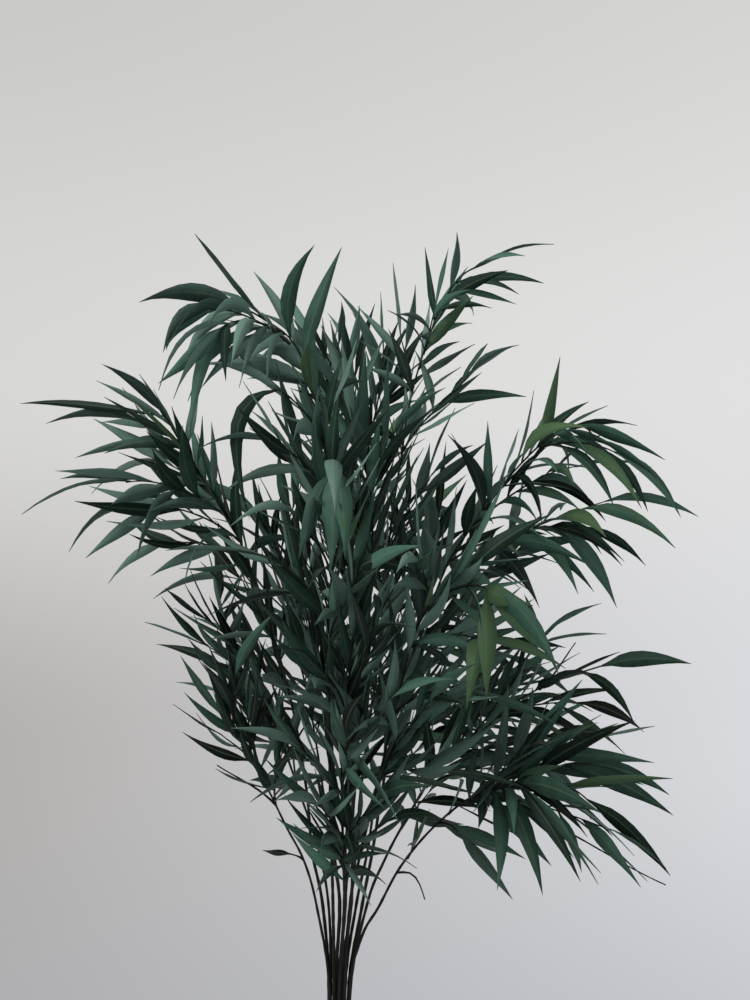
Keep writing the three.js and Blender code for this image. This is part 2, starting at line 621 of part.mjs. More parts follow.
// One leaf: a long three-sided spindle, bent on its curve, flat below and ridged above. It is
// pointed at both ends, and thickest over the short stalk that is sunk in its twig.
function leafSolid(shape, margin, from = 0) {
  const { root, middle, tip, width, roll, twist } = shape;
  const spans = LEAF_STATIONS.length - 1;
  const geometry = new THREE.SphereGeometry(1, 3, spans);
  const positions = geometry.getAttribute("position");
  const first = middle.clone().sub(root);
  const second = tip.clone().sub(middle);
  const across = first.clone().cross(second).normalize();
  for (let i = 0; i < positions.count; i += 1) {
    const station = spans - Math.round((Math.acos(positions.getY(i)) / Math.PI) * spans);
    const share = mix(from, 1, LEAF_STATIONS[station]);
    const along = first.clone().lerp(second, share).normalize();
    const bend = across.clone().cross(along);
    const angle = roll + twist * share;
    const flat = across.clone().multiplyScalar(Math.cos(angle)).addScaledVector(bend, Math.sin(angle));
    const face = flat.clone().cross(along);
    const point = root.clone().lerp(middle, share);
    point.lerp(middle.clone().lerp(tip, share), share);
    if (station === 0 || station === spans) {
      point.addScaledVector(along, station === 0 ? -margin : margin);
    } else {
      const ring = Math.hypot(positions.getX(i), positions.getZ(i));
      const sideways = positions.getX(i) / ring / Math.sin(Math.PI / 3);
      const upright = (positions.getZ(i) / ring + 0.5) / 1.5 + LEAF_RIDGE - 1;
      const wide = width * leafOutline(share) + 2 * margin;
      const thick = LEAF_THICKNESS + 2 * margin;
      point.addScaledVector(flat, (sideways * wide) / 2);
      point.addScaledVector(face, upright * thick);
    }
    positions.setXYZ(i, point.x, point.y, point.z);
  }
  return solidFrom(geometry);
}

function boxesMeet(a, b) {
  return [0, 1, 2].every((axis) => a.min[axis] < b.max[axis] && b.min[axis] < a.max[axis]);
}

function solidsMeet(a, b) {
  if (!boxesMeet(a.box, b.box)) {
    return false;
  }
  const common = a.solid.intersect(b.solid);
  const meet = !common.isEmpty();
  common.delete();
  return meet;
}

// The leaf of a slot that stays clear of everything that isn't its own wood, if there is one.
function clearLeaf(twig, slot, slots, placed) {
  for (let choice = 0; choice < LEAF_CHOICES; choice += 1) {
    const shape = leafShape(twig, slot, slots, choice);
    const guard = leafSolid(shape, LEAF_MARGIN);
    const probe = { solid: guard, box: guard.boundingBox() };
    const others = placed.filter((item) => item.stem !== twig.stem || item.leaf);
    const free = leafSolid(shape, FREE_MARGIN, LEAF_FREE);
    const freeProbe = { solid: free, box: free.boundingBox() };
    const own = placed.filter((item) => item.stem === twig.stem && !item.leaf);
    const blocked = others.some((item) => solidsMeet(probe, item))
      || own.some((item) => solidsMeet(freeProbe, item));
    guard.delete();
    free.delete();
    if (!blocked) {
      return leafSolid(shape, 0);
    }
  }
  return null;
}

// Every stem with its branches and leaves, joined to one body each.
function leafyStems() {
  const wood = growWood();
  const placed = wood.map((twig) => {
    const solid = woodSolid(twig);
    return { stem: twig.stem, leaf: false, solid, box: solid.boundingBox() };
  });
  for (const twig of wood.filter((item) => item.leaf > 0)) {
    const slots = Math.floor((twig.line.length - twig.leafStart) / LEAF_PITCH) + 1;
    for (let slot = (slots - 1) % 2; slot < slots; slot += 2) {
      const solid = clearLeaf(twig, slot, slots, placed);
      if (solid) {
        placed.push({ stem: twig.stem, leaf: true, solid, box: solid.boundingBox() });
      }
    }
  }
  return STEMS.map((row, stem) => {
    const pieces = placed.filter((item) => item.stem === stem).map((item) => item.solid);
    const mesh = new THREE.Mesh(geometryFrom(wholeBody(wasm.Manifold.union(pieces))), FOLIAGE);
    mesh.name = `stem_${row.name}`;
    return mesh;
  });
}

const object = new THREE.Group();
const vaseMesh = new THREE.Mesh(vase(), CERAMIC);
vaseMesh.name = "vase";
vaseMesh.rotation.x = Math.PI / 2;
object.add(vaseMesh, ...leafyStems());

export default object;
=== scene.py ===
import math

import bmesh
import bpy
import numpy as np
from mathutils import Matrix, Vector
from mathutils.kdtree import KDTree


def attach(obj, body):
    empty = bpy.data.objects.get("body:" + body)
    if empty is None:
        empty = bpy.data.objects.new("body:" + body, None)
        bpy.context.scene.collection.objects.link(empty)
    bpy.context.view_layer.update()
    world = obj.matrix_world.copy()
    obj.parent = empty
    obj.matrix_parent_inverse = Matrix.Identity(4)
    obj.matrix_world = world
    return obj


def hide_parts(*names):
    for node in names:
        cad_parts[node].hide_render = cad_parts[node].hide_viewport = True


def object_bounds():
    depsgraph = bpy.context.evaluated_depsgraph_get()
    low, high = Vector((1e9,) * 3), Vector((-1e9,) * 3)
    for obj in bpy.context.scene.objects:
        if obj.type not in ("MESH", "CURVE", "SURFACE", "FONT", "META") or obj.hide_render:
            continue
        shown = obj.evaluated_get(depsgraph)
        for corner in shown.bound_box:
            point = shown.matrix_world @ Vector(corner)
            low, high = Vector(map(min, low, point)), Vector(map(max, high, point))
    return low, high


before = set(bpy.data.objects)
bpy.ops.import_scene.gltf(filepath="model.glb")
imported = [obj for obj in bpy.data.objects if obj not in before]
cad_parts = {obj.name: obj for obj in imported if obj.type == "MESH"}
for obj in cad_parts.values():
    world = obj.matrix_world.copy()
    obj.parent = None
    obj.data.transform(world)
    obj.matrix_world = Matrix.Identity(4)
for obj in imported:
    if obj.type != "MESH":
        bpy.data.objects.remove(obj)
cad_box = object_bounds()

# The vase. One thrown and fired piece of pale stoneware with a narrow neck and a rolled lip, under a
# satin glaze. The profile is drawn from foot to lip, given its wall, and spun round the axis.
MM = 0.001
VASE_HEIGHT = 225
FOOT_RADIUS = 43
BELLY_RADIUS = 62
BELLY_HEIGHT = 76
SHOULDER_IN = 0.52
SHOULDER_UP = 0.55
NECK_RADIUS = 18.6
NECK_HEIGHT = 205
LIP_RADIUS = 22
WALL = 4.6
FOOT_ROUND = 3
FLOOR_HEIGHT = WALL + FOOT_ROUND
FLOOR_BLEND = 2
OUTLINE_STEPS = 44
LIP_STEPS = 6
FOOT_STEPS = 4
VASE_STEPS = 96
MERGE_GAP = 0.00002


def mix(a, b, share):
    return a + (b - a) * share


def spline_points(points, samples):
    """Evenly numbered points of a smooth line through the given points."""
    points = np.array(points, float)
    padded = np.vstack([2 * points[0] - points[1], points, 2 * points[-1] - points[-2]])
    spans = len(points) - 1
    result = []
    for i in range(samples + 1):
        along = spans * i / samples
        span = min(int(along), spans - 1)
        t = along - span
        before, start, end, after = padded[span:span + 4]
        leave = 0.5 * (end - before)
        arrive = 0.5 * (after - start)
        square = -3 * start + 3 * end - 2 * leave - arrive
        cube = 2 * start - 2 * end + leave + arrive
        result.append(start + leave * t + square * t * t + cube * t * t * t)
    return np.array(result)


def new_piece(name, bm, material, node):
    """A finished bmesh as a piece that stands for a CAD node."""
    mesh = bpy.data.meshes.new(name)
    bm.to_mesh(mesh)
    bm.free()
    dress(mesh, material, node)


def dress(mesh, material, node):
    """A mesh as a smooth piece of its material that stands for a CAD node."""
    mesh.materials.append(material)
    mesh.polygons.foreach_set("use_smooth", [True] * len(mesh.polygons))
    piece = bpy.data.objects.new(mesh.name, mesh)
    bpy.context.scene.collection.objects.link(piece)
    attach(piece, "root")
    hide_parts(node)


def shader(name):
    """A new material with its tree, its shader node and its linking function."""
    material = bpy.data.materials.new(name)
    material.use_nodes = True
    tree = material.node_tree
    return material, tree, tree.nodes["Principled BSDF"], tree.links.new


def add_ramp(tree, stops):
    """A colour ramp from (place, colour) pairs."""
    ramp = tree.nodes.new("ShaderNodeValToRGB")
    elements = ramp.color_ramp.elements
    elements[0].position, elements[0].color = stops[0][0], (*stops[0][1], 1)
    elements[1].position, elements[1].color = stops[-1][0], (*stops[-1][1], 1)
    for place, colour in stops[1:-1]:
        elements.new(place).color = (*colour, 1)
    return ramp


def ceramic_material():
    material, tree, skin, link = shader("satin_stoneware")
    place = tree.nodes.new("ShaderNodeTexCoord")
    cloud = tree.nodes.new("ShaderNodeTexNoise")
    cloud.inputs["Scale"].default_value = 22
    cloud.inputs["Detail"].default_value = 5
    tint = add_ramp(tree, [(0.3, (0.60, 0.565, 0.50)), (0.7, (0.70, 0.67, 0.61))])
    speck = tree.nodes.new("ShaderNodeTexVoronoi")
    speck.inputs["Scale"].default_value = 210
    freckle = add_ramp(tree, [(0.07, (0.45, 0.40, 0.33)), (0.16, (1, 1, 1))])
    blend = tree.nodes.new("ShaderNodeMix")
    blend.data_type = "RGBA"
    blend.blend_type = "MULTIPLY"
    blend.inputs["Factor"].default_value = 0.45
    link(place.outputs["Object"], cloud.inputs["Vector"])
    link(place.outputs["Object"], speck.inputs["Vector"])
    link(cloud.outputs["Fac"], tint.inputs["Fac"])
    link(speck.outputs["Distance"], freckle.inputs["Fac"])
    link(tint.outputs["Color"], blend.inputs["A"])
    link(freckle.outputs["Color"], blend.inputs["B"])
    link(blend.outputs["Result"], skin.inputs["Base Color"])
    ripple = tree.nodes.new("ShaderNodeTexNoise")
    ripple.inputs["Scale"].default_value = 60
    rise = tree.nodes.new("ShaderNodeBump")
    rise.inputs["Strength"].default_value = 0.12
    rise.inputs["Distance"].default_value = 0.0006
    link(place.outputs["Object"], ripple.inputs["Vector"])
    link(ripple.outputs["Fac"], rise.inputs["Height"])
    link(rise.outputs["Normal"], skin.inputs["Normal"])
    skin.inputs["Roughness"].default_value = 0.42
    skin.inputs["Coat Weight"].default_value = 0.25
    skin.inputs["Coat Roughness"].default_value = 0.3
    return material


outline = spline_points([
    (FOOT_RADIUS, FOOT_ROUND),
    (BELLY_RADIUS, BELLY_HEIGHT),
    (mix(BELLY_RADIUS, NECK_RADIUS, SHOULDER_IN), mix(BELLY_HEIGHT, NECK_HEIGHT, SHOULDER_UP)),
    (NECK_RADIUS, NECK_HEIGHT),
    (LIP_RADIUS, VASE_HEIGHT - WALL / 2),
], OUTLINE_STEPS)
slope = np.gradient(outline, axis=0)
slope /= np.linalg.norm(slope, axis=1, keepdims=True)
inward = np.column_stack([-slope[:, 1], slope[:, 0]])
lip = outline[-1] + inward[-1] * WALL / 2
lip_start = math.atan2(-inward[-1][1], -inward[-1][0])
lip_turns = [lip_start + math.pi * i / LIP_STEPS for i in range(1, LIP_STEPS)]
rolled = [lip + np.array([math.cos(turn), math.sin(turn)]) * WALL / 2 for turn in lip_turns]
foot_turns = [math.pi / 2 * i / FOOT_STEPS for i in range(FOOT_STEPS)]
foot = [
    (FOOT_RADIUS - FOOT_ROUND * (1 - math.sin(turn)), FOOT_ROUND * (1 - math.cos(turn)))
    for turn in foot_turns
]
walled = (outline + inward * WALL)[::-1]
inner_wall = [place for place in walled if place[1] > FLOOR_HEIGHT + FLOOR_BLEND]
inner_floor = [(FOOT_RADIUS - WALL - FOOT_ROUND, FLOOR_HEIGHT), (0, FLOOR_HEIGHT)]
profile = [(0, 0), *foot, *outline, *rolled, *inner_wall, *inner_floor]

bm = bmesh.new()
ring = [bm.verts.new((radius * MM, 0, height * MM)) for radius, height in profile]
edges = [bm.edges.new(pair) for pair in zip(ring, ring[1:])]
bmesh.ops.spin(
    bm, geom=ring + edges, cent=(0, 0, 0), axis=(0, 0, 1), dvec=(0, 0, 0),
    angle=math.tau, steps=VASE_STEPS, use_merge=True, use_normal_flip=False, use_duplicate=False,
)
bmesh.ops.remove_doubles(bm, verts=bm.verts, dist=MERGE_GAP)
bmesh.ops.recalc_face_normals(bm, faces=bm.faces)
new_piece("vase_body", bm, ceramic_material(), "vase")

# The stems. Sixteen cut branches of preserved eucalyptus, woody at the foot and thin and green at
# the tips, each grown in one piece with its side twigs. They stand on the vase's floor, draw
# together in its neck in two rings and spread above it. Sizes and places are in millimetres.
OUTER_RING = 9.4
INNER_RING = 4.2
WAIST_HEIGHT = 245
FLOOR_SPREAD = 1.9
FLOOR_GAP = 0.6
STEM_RADIUS = 2.25
STEM_TIP_RADIUS = 0.7
TWIG_RADIUS = 1.15
TWIG_TIP_RADIUS = 0.5
TWIG_BARE = 0.12
STEM_STEP = 44
TWIG_STEP = 50
FRAME_REACH = 8
WOOD_SPACING = 4.4
BEAD_STEP = 4
NUDGE = 3.2
NUDGES = 40
FAR_AWAY = 1e6
STEM_SAMPLES = 240
BRANCH_SAMPLES = 40
BRANCH_LEAVES = 0.35
BRANCH_ARRIVES = 0.3
GOLDEN_ANGLE = math.pi * (3 - math.sqrt(5))
UP = np.array([0.0, 0.0, 1.0])
WOOD_SIDES = 8
WOOD_STATION = 7
FEWEST_STATIONS = 4
SWELL = 0.10
SWELL_TURN = 2.4
SWELL_DRIFT = 0.08
TAPER = 0.8
DRAW_START = 2166136261
DRAW_STEPS = ((16777619, 15), (2246822519, 13))
DRAW_RANGE = 2 ** 32


def branch(start, tip, leaf, arch=0, hang=1):
    """A side branch: the share of its stem's length where it leaves, its tip, and its leaves' size,
    or 0 where it is a bare dry twig. It may run over an arch, and its leaves may hang more or less.
    """
    return {"from": start, "tip": tip, "leaf": leaf, "arch": arch, "hang": hang}


# Each stem: its ring and its turn in the bundle in degrees, the share of its length where leaves
# begin, the size of its leaves, the points it grows through above the vase, and its branches.
# Leaves sag by one measure, or by as much of it as hang says, which is upwards below 0.
STEMS = [
    {
        "name": "right_low", "ring": OUTER_RING, "turn": 0, "leafy": 0.66, "leaf": 0.9,
        "route": [
            [25, 5, 325], [40, 15, 360], [60, 25, 395], [90, 35, 440],
            [130, 35, 475], [165, 30, 505], [200, 20, 525], [240, 10, 540],
        ],
        "branches": [
            branch(0.76, [190, 45, 565], leaf=0.8, hang=0.6),
            branch(0.83, [225, 45, 500], leaf=0.8, arch=5),
            branch(0.7, [195, 60, 465], leaf=0.95, arch=8, hang=0.6),
            branch(0.66, [110, 60, 470], leaf=0.85),
            branch(0.9, [215, 15, 560], leaf=0),
            branch(0.61, [85, 60, 415], leaf=0.8),
            branch(0.68, [150, 65, 435], leaf=0.9, arch=5),
            branch(0.72, [150, 60, 510], leaf=0.9),
        ],
    },
    {
        "name": "right_arch", "ring": OUTER_RING, "turn": 30, "leafy": 0.75, "leaf": 1, "hang": 2,
        "route": [
            [20, 10, 320], [30, 20, 370], [40, 30, 430], [55, 35, 505], [80, 30, 580], [100, 15, 635],
            [130, 0, 680], [155, -15, 715], [185, -30, 745], [210, -40, 755], [225, -45, 740],
        ],
        "branches": [
            branch(0.73, [240, -15, 690], leaf=1, arch=10, hang=1.5),
            branch(0.77, [220, 10, 665], leaf=1.05, arch=12, hang=2.8),
            branch(0.82, [215, -10, 720], leaf=0.9, arch=15, hang=2),
            branch(0.87, [200, -25, 750], leaf=0.85, arch=5, hang=1.8),
            branch(0.93, [240, -50, 730], leaf=1.05, arch=10, hang=2.4),
            branch(0.69, [155, 30, 635], leaf=0.9, arch=5),
            branch(0.6, [105, 60, 555], leaf=0.85),
        ],
    },
    {
        "name": "back_right", "ring": OUTER_RING, "turn": 60, "leafy": 0.68, "leaf": 0.9,
        "route": [
            [15, 20, 320], [25, 50, 360], [35, 90, 415], [55, 120, 490],
            [75, 140, 560], [90, 150, 620], [95, 150, 665],
        ],
        "branches": [
            branch(0.74, [130, 150, 580], leaf=0.9),
            branch(0.83, [135, 165, 630], leaf=0.85, arch=5),
            branch(0.92, [65, 190, 660], leaf=0.9),
            branch(0.8, [165, 150, 530], leaf=0.9, arch=15),
            branch(0.65, [125, 110, 490], leaf=0.9, arch=10),
            branch(0.59, [80, 110, 450], leaf=0.85),
            branch(0.68, [180, 130, 490], leaf=0.9, arch=10),
        ],
    },
    {
        "name": "back", "ring": OUTER_RING, "turn": 90, "leafy": 0.65, "leaf": 0.9,
        "route": [
            [10, 25, 315], [10, 70, 355], [10, 120, 410], [15, 160, 485],
            [15, 180, 565], [15, 185, 635], [15, 185, 700],
        ],
        "branches": [
            branch(0.68, [70, 190, 565], leaf=0.9),
            branch(0.75, [-45, 210, 585], leaf=0.9, arch=10),
            branch(0.85, [80, 220, 670], leaf=0.9, arch=10),
            branch(0.91, [-15, 225, 725], leaf=0.9),
            branch(0.96, [45, 200, 755], leaf=0.9),
            branch(0.6, [-20, 150, 485], leaf=0.85),
            branch(0.61, [45, 160, 495], leaf=0.85),
        ],
    },
    {
        "name": "back_left", "ring": OUTER_RING, "turn": 120, "leafy": 0.67, "leaf": 0.9,
        "route": [
            [0, 20, 320], [-10, 55, 360], [-20, 95, 415], [-35, 130, 490],
            [-55, 150, 565], [-65, 150, 630], [-85, 140, 670],
        ],
        "branches": [
            branch(0.7, [-100, 140, 540], leaf=0.9, arch=5),
            branch(0.79, [-45, 185, 615], leaf=0.9),
            branch(0.85, [-120, 170, 610], leaf=0.95, arch=10),
            branch(0.93, [-45, 190, 710], leaf=0.9),
            branch(0.62, [-70, 115, 485], leaf=0.85),
        ],
    },
    {
        "name": "left_mid", "ring": OUTER_RING, "turn": 150, "leafy": 0.76, "leaf": 0.8, "hang": 0,
        "route": [
            [-10, 10, 320], [-20, 30, 365], [-40, 45, 420], [-60, 55, 470],
            [-80, 55, 515], [-100, 45, 555], [-125, 35, 580],
        ],
        "branches": [
            branch(0.81, [-115, 80, 530], leaf=0.8, arch=5),
            branch(0.87, [-135, 60, 555], leaf=0.8, arch=5, hang=0.3),
            branch(0.95, [-120, 90, 600], leaf=0.85, hang=0.2),
            branch(0.76, [-100, 60, 500], leaf=0.85),
            branch(0.68, [-65, 80, 480], leaf=0.8),
        ],
    },
    {
        "name": "left_high", "ring": OUTER_RING, "turn": 180, "leafy": 0.77, "leaf": 1, "hang": 1.7,
        "route": [
            [-15, 0, 325], [-25, 10, 370], [-30, 10, 425], [-40, 5, 490], [-55, -5, 555],
            [-75, -15, 620], [-95, -20, 670], [-120, -25, 710], [-145, -30, 745], [-170, -30, 755],
        ],
        "branches": [
            branch(0.83, [-170, -40, 685], leaf=1.05, arch=12, hang=2.2),
            branch(0.8, [-155, -10, 650], leaf=0.9, arch=12, hang=1.8),
            branch(0.86, [-180, -60, 705], leaf=1.05, arch=15, hang=2.2),
            branch(0.88, [-160, 0, 725], leaf=0.95, arch=5, hang=1.8),
            branch(0.92, [-150, -50, 765], leaf=0.9, hang=1.2),
            branch(0.71, [-85, 10, 615], leaf=0.9),
            branch(0.64, [-70, 20, 590], leaf=0.9),
        ],
    },
    {
        "name": "left_low", "ring": OUTER_RING, "turn": 210, "leafy": 0.83, "leaf": 0.75, "hang": -0.3,
        "route": [
            [-20, -5, 325], [-35, -10, 365], [-50, -25, 400], [-65, -35, 435],
            [-80, -45, 465], [-90, -50, 490], [-105, -55, 505],
        ],
        "branches": [
            branch(0.85, [-80, -60, 520], leaf=0.8, hang=0.6),
            branch(0.9, [-105, -25, 485], leaf=0.75, hang=-0.3),
            branch(0.95, [-85, -75, 545], leaf=0.8, hang=0.2),
            branch(0.69, [-45, -10, 375], leaf=0.68, hang=0),
            branch(0.81, [-105, -40, 460], leaf=0),
            branch(0.81, [-45, -60, 485], leaf=0.8),
        ],
    },
    {
        "name": "left_arch_front", "ring": OUTER_RING, "turn": 240,
        "leafy": 0.67, "leaf": 1, "hang": 2.6,
        "route": [
            [-5, -25, 335], [-5, -60, 390], [-5, -95, 460], [-5, -120, 530],
            [-5, -135, 595], [0, -145, 660], [-5, -150, 720], [-15, -155, 770],
            [-30, -160, 810], [-55, -160, 830], [-75, -165, 840],
        ],
        "branches": [
            branch(0.69, [-50, -150, 645], leaf=0.95, arch=10),
            branch(0.76, [0, -195, 715], leaf=1, arch=30, hang=4),
            branch(0.8, [-50, -165, 735], leaf=0.95, arch=10, hang=1.4),
            branch(0.85, [-45, -170, 775], leaf=0.95, arch=10, hang=2),
            branch(0.94, [-90, -175, 835], leaf=1.05, arch=8, hang=5),
            branch(0.95, [-80, -190, 820], leaf=1, arch=10, hang=5),
            branch(0.62, [-30, -150, 580], leaf=0.9),
            branch(0.67, [20, -175, 635], leaf=0.9),
            branch(0.73, [-25, -170, 675], leaf=0.95, arch=5, hang=2),
        ],
    },
    {
        "name": "front", "ring": OUTER_RING, "turn": 270, "leafy": 0.54, "leaf": 0.85,
        "route": [
            [5, -30, 335], [5, -65, 395], [5, -100, 460],
            [10, -130, 530], [15, -150, 595], [15, -170, 645],
        ],
        "branches": [
            branch(0.53, [5, -80, 400], leaf=0.75, arch=5, hang=3.5),
            branch(0.59, [35, -120, 450], leaf=0.85, arch=5),
            branch(0.6, [-15, -130, 450], leaf=0.85, arch=5),
            branch(0.74, [45, -170, 540], leaf=0.9, arch=5),
            branch(0.8, [-15, -180, 570], leaf=0.9, arch=5),
            branch(0.68, [10, -155, 505], leaf=0.85),
            branch(0.56, [20, -95, 415], leaf=0.75),
            branch(0.57, [-10, -85, 410], leaf=0.75),
            branch(0.68, [-30, -125, 495], leaf=0.85),
            branch(0.8, [30, -185, 585], leaf=0.9),
        ],
    },
    {
        "name": "right_front", "ring": OUTER_RING, "turn": 300,
        "leafy": 0.67, "leaf": 0.95, "hang": 1.5,
        "route": [
            [10, -25, 335], [20, -60, 390], [35, -95, 460], [50, -120, 530],
            [65, -140, 590], [85, -150, 620], [105, -160, 635],
        ],
        "branches": [
            branch(0.7, [85, -115, 470], leaf=0.85, arch=5),
            branch(0.79, [105, -140, 540], leaf=0.95, arch=15),
            branch(0.88, [115, -145, 580], leaf=0.95, arch=10),
            branch(0.93, [65, -190, 645], leaf=0.9),
            branch(0.96, [120, -170, 620], leaf=1, arch=10, hang=3.5),
            branch(0.6, [45, -85, 425], leaf=0.8),
            branch(0.7, [75, -150, 535], leaf=0.9),
        ],
    },
    {
        "name": "right_droop", "ring": OUTER_RING, "turn": 330, "leafy": 0.78, "leaf": 1, "hang": 1.2,
        "route": [
            [20, -10, 300], [35, -20, 330], [55, -30, 370], [85, -45, 410],
            [120, -60, 440], [160, -75, 450], [195, -85, 450], [210, -90, 440],
        ],
        "branches": [
            branch(0.75, [105, -60, 405], leaf=0.85, arch=4),
            branch(0.77, [110, -50, 430], leaf=0.85, arch=5, hang=2),
            branch(0.82, [200, -40, 475], leaf=1, arch=10, hang=0.7),
            branch(0.85, [215, -60, 465], leaf=1, arch=12),
            branch(0.85, [155, -120, 455], leaf=1.1, arch=15, hang=2),
            branch(0.82, [225, -100, 420], leaf=0.9, arch=5, hang=1.2),
            branch(0.81, [270, -100, 375], leaf=0),
            branch(0.64, [75, -45, 345], leaf=0, arch=20),
            branch(0.81, [130, -70, 465], leaf=0.95),
            branch(0.82, [150, -105, 485], leaf=0.95, arch=5),
            branch(0.67, [65, -55, 395], leaf=0.8, hang=0.6),
        ],
    },
    {
        "name": "top_right", "ring": INNER_RING, "turn": 20, "leafy": 0.55, "leaf": 0.75,
        "route": [
            [10, 5, 325], [15, 10, 375], [20, 10, 435], [30, 10, 510], [40, 10, 580], [45, 5, 655],
            [55, 5, 725], [65, 0, 785], [80, -5, 835], [95, -10, 870], [110, -15, 890], [130, -20, 900],
        ],
        "branches": [
            branch(0.61, [80, 30, 635], leaf=0.85),
            branch(0.69, [85, 25, 715], leaf=0.85),
            branch(0.79, [115, -10, 800], leaf=0.8),
            branch(0.85, [55, 10, 840], leaf=0.72, hang=0.3),
            branch(0.95, [115, -5, 885], leaf=0.75),
            branch(0.89, [85, -30, 860], leaf=0.75),
        ],
    },
    {
        "name": "top_back", "ring": INNER_RING, "turn": 110, "leafy": 0.6, "leaf": 0.85,
        "route": [
            [5, 10, 320], [5, 20, 370], [10, 35, 430], [15, 50, 500], [20, 60, 575],
            [25, 60, 650], [25, 55, 730], [35, 45, 785], [40, 35, 830],
        ],
        "branches": [
            branch(0.71, [-15, 90, 690], leaf=0.9),
            branch(0.81, [60, 80, 750], leaf=0.85),
            branch(0.89, [10, 70, 820], leaf=0.8),
            branch(0.92, [55, 60, 800], leaf=0.8),
            branch(0.66, [5, 100, 630], leaf=0.9),
        ],
    },
    {
        "name": "top_left", "ring": INNER_RING, "turn": 200, "leafy": 0.54, "leaf": 0.9,
        "route": [
            [0, 0, 325], [-5, 5, 375], [-5, 10, 435], [-10, 15, 510], [-10, 20, 580],
            [-5, 20, 655], [0, 15, 715], [-5, 10, 780], [-25, 0, 825],
        ],
        "branches": [
            branch(0.7, [-45, 40, 655], leaf=0.9),
            branch(0.79, [-50, 50, 740], leaf=0.9, arch=5),
            branch(0.88, [-40, 30, 800], leaf=0.9, arch=5),
            branch(0.91, [10, -10, 810], leaf=0.8),
            branch(0.93, [-40, -15, 825], leaf=0.8, hang=0.8),
            branch(0.96, [0, -10, 830], leaf=0.75, hang=0.6),
            branch(0.61, [-35, 40, 580], leaf=0.9),
        ],
    },
    {
        "name": "top_front", "ring": INNER_RING, "turn": 290, "leafy": 0.57, "leaf": 0.9,
        "route": [
            [5, -10, 330], [10, -20, 380], [15, -30, 445], [20, -45, 515],
            [25, -50, 585], [30, -55, 655], [25, -50, 715], [10, -40, 775],
        ],
        "branches": [
            branch(0.72, [55, -80, 630], leaf=0.85),
            branch(0.82, [-15, -90, 705], leaf=0.95, arch=5),
            branch(0.89, [50, -70, 750], leaf=0.9),
            branch(0.92, [0, -65, 785], leaf=0.9),
            branch(0.59, [55, -60, 530], leaf=0.9),
            branch(0.62, [-5, -80, 530], leaf=0.9),
        ],
    },
]


def draw(*keys):
    """A number from 0 to 1 that is always the same for the same whole-number keys."""
    value = DRAW_START
    for key in keys:
        value ^= key
        for factor, shift in DRAW_STEPS:
            value = value * factor % DRAW_RANGE
            value ^= value >> shift
    return value / DRAW_RANGE


def unit(vector):
    return vector / math.sqrt(vector @ vector)


def measured(points):
    """A line: its points and their distances along it."""
    points = np.array(points, float)
    spans = np.sqrt((np.diff(points, axis=0) ** 2).sum(axis=1))
    return points, np.concatenate([[0.0], np.cumsum(spans)])


def point_at(line, distance):
    """The place at a distance along a line, or at its end where the distance runs past it."""
    points, distances = line
    along = min(max(distance, 0.0), distances[-1])
    i = min(max(int(np.searchsorted(distances, along)), 1), len(points) - 1)
    share = (along - distances[i - 1]) / (distances[i] - distances[i - 1])
    return points[i - 1] + (points[i] - points[i - 1]) * share


def frame_at(line, distance):
    """Place, direction and two cross directions at a distance along a line."""
    ahead = point_at(line, distance + FRAME_REACH)
    behind = point_at(line, distance - FRAME_REACH)
    along = unit(ahead - behind)
    chord = line[0][-1] - line[0][0]
    over = unit(np.cross(unit(np.array([-chord[1], chord[0], 0.0])), along))
    return point_at(line, distance), along, over, unit(np.cross(along, over))


def chain_along(points, step, straight):
    """The smooth line, the chain of spans that the solid follows, and where its stations lie."""
    line = measured(points)
    length = line[1][-1]
    spans = max(2, math.floor((length - straight) / step + 0.5))
    stations = [mix(straight, length, i / spans) for i in range(spans + 1)]
    if straight > 0:
        stations.insert(0, 0.0)
    return line, measured([point_at(line, s) for s in stations]), stations


def stem_line(row, shift):
    """A stem: from the floor to the waist above the lip, then along its own route."""
    turn = math.radians(row["turn"])
    across = np.array([math.cos(turn), math.sin(turn), 0.0]) * row["ring"]
    foot = across * FLOOR_SPREAD + UP * (FLOOR_HEIGHT + FLOOR_GAP)
    waist = across + UP * WAIST_HEIGHT
    route = [np.array(place, float) + (shift if i > 0 else 0) for i, place in enumerate(row["route"])]
    points = [foot, (foot + waist) / 2, waist, *route]
    return chain_along(spline_points(points, STEM_SAMPLES), STEM_STEP, math.dist(foot, waist))


def branch_line(stem_chain, row, shift):
    """A branch: it leaves between the stem's heading and its own, then arches over to its tip."""
    start, along = frame_at(stem_chain, stem_chain[1][-1] * row["from"])[:2]
    tip = np.array(row["tip"], float) + shift
    reach = math.dist(start, tip)
    leave = start + unit((tip - start) / reach + along) * reach * BRANCH_LEAVES
    arrive = tip + (start - tip) * BRANCH_ARRIVES + UP * row["arch"]
    t = np.linspace(0, 1, BRANCH_SAMPLES + 1)[:, None]
    curve = start * (1 - t) ** 3 + leave * 3 * t * (1 - t) ** 2
    curve = curve + arrive * 3 * t * t * (1 - t) + tip * t ** 3
    return chain_along(curve, TWIG_STEP, 0)


def beads(line):
    """Points along a line that stand for it where its distance from other wood is tested."""
    count = math.ceil(line[1][-1] / BEAD_STEP)
    return np.array([point_at(line, line[1][-1] * i / count) for i in range(count + 1)])


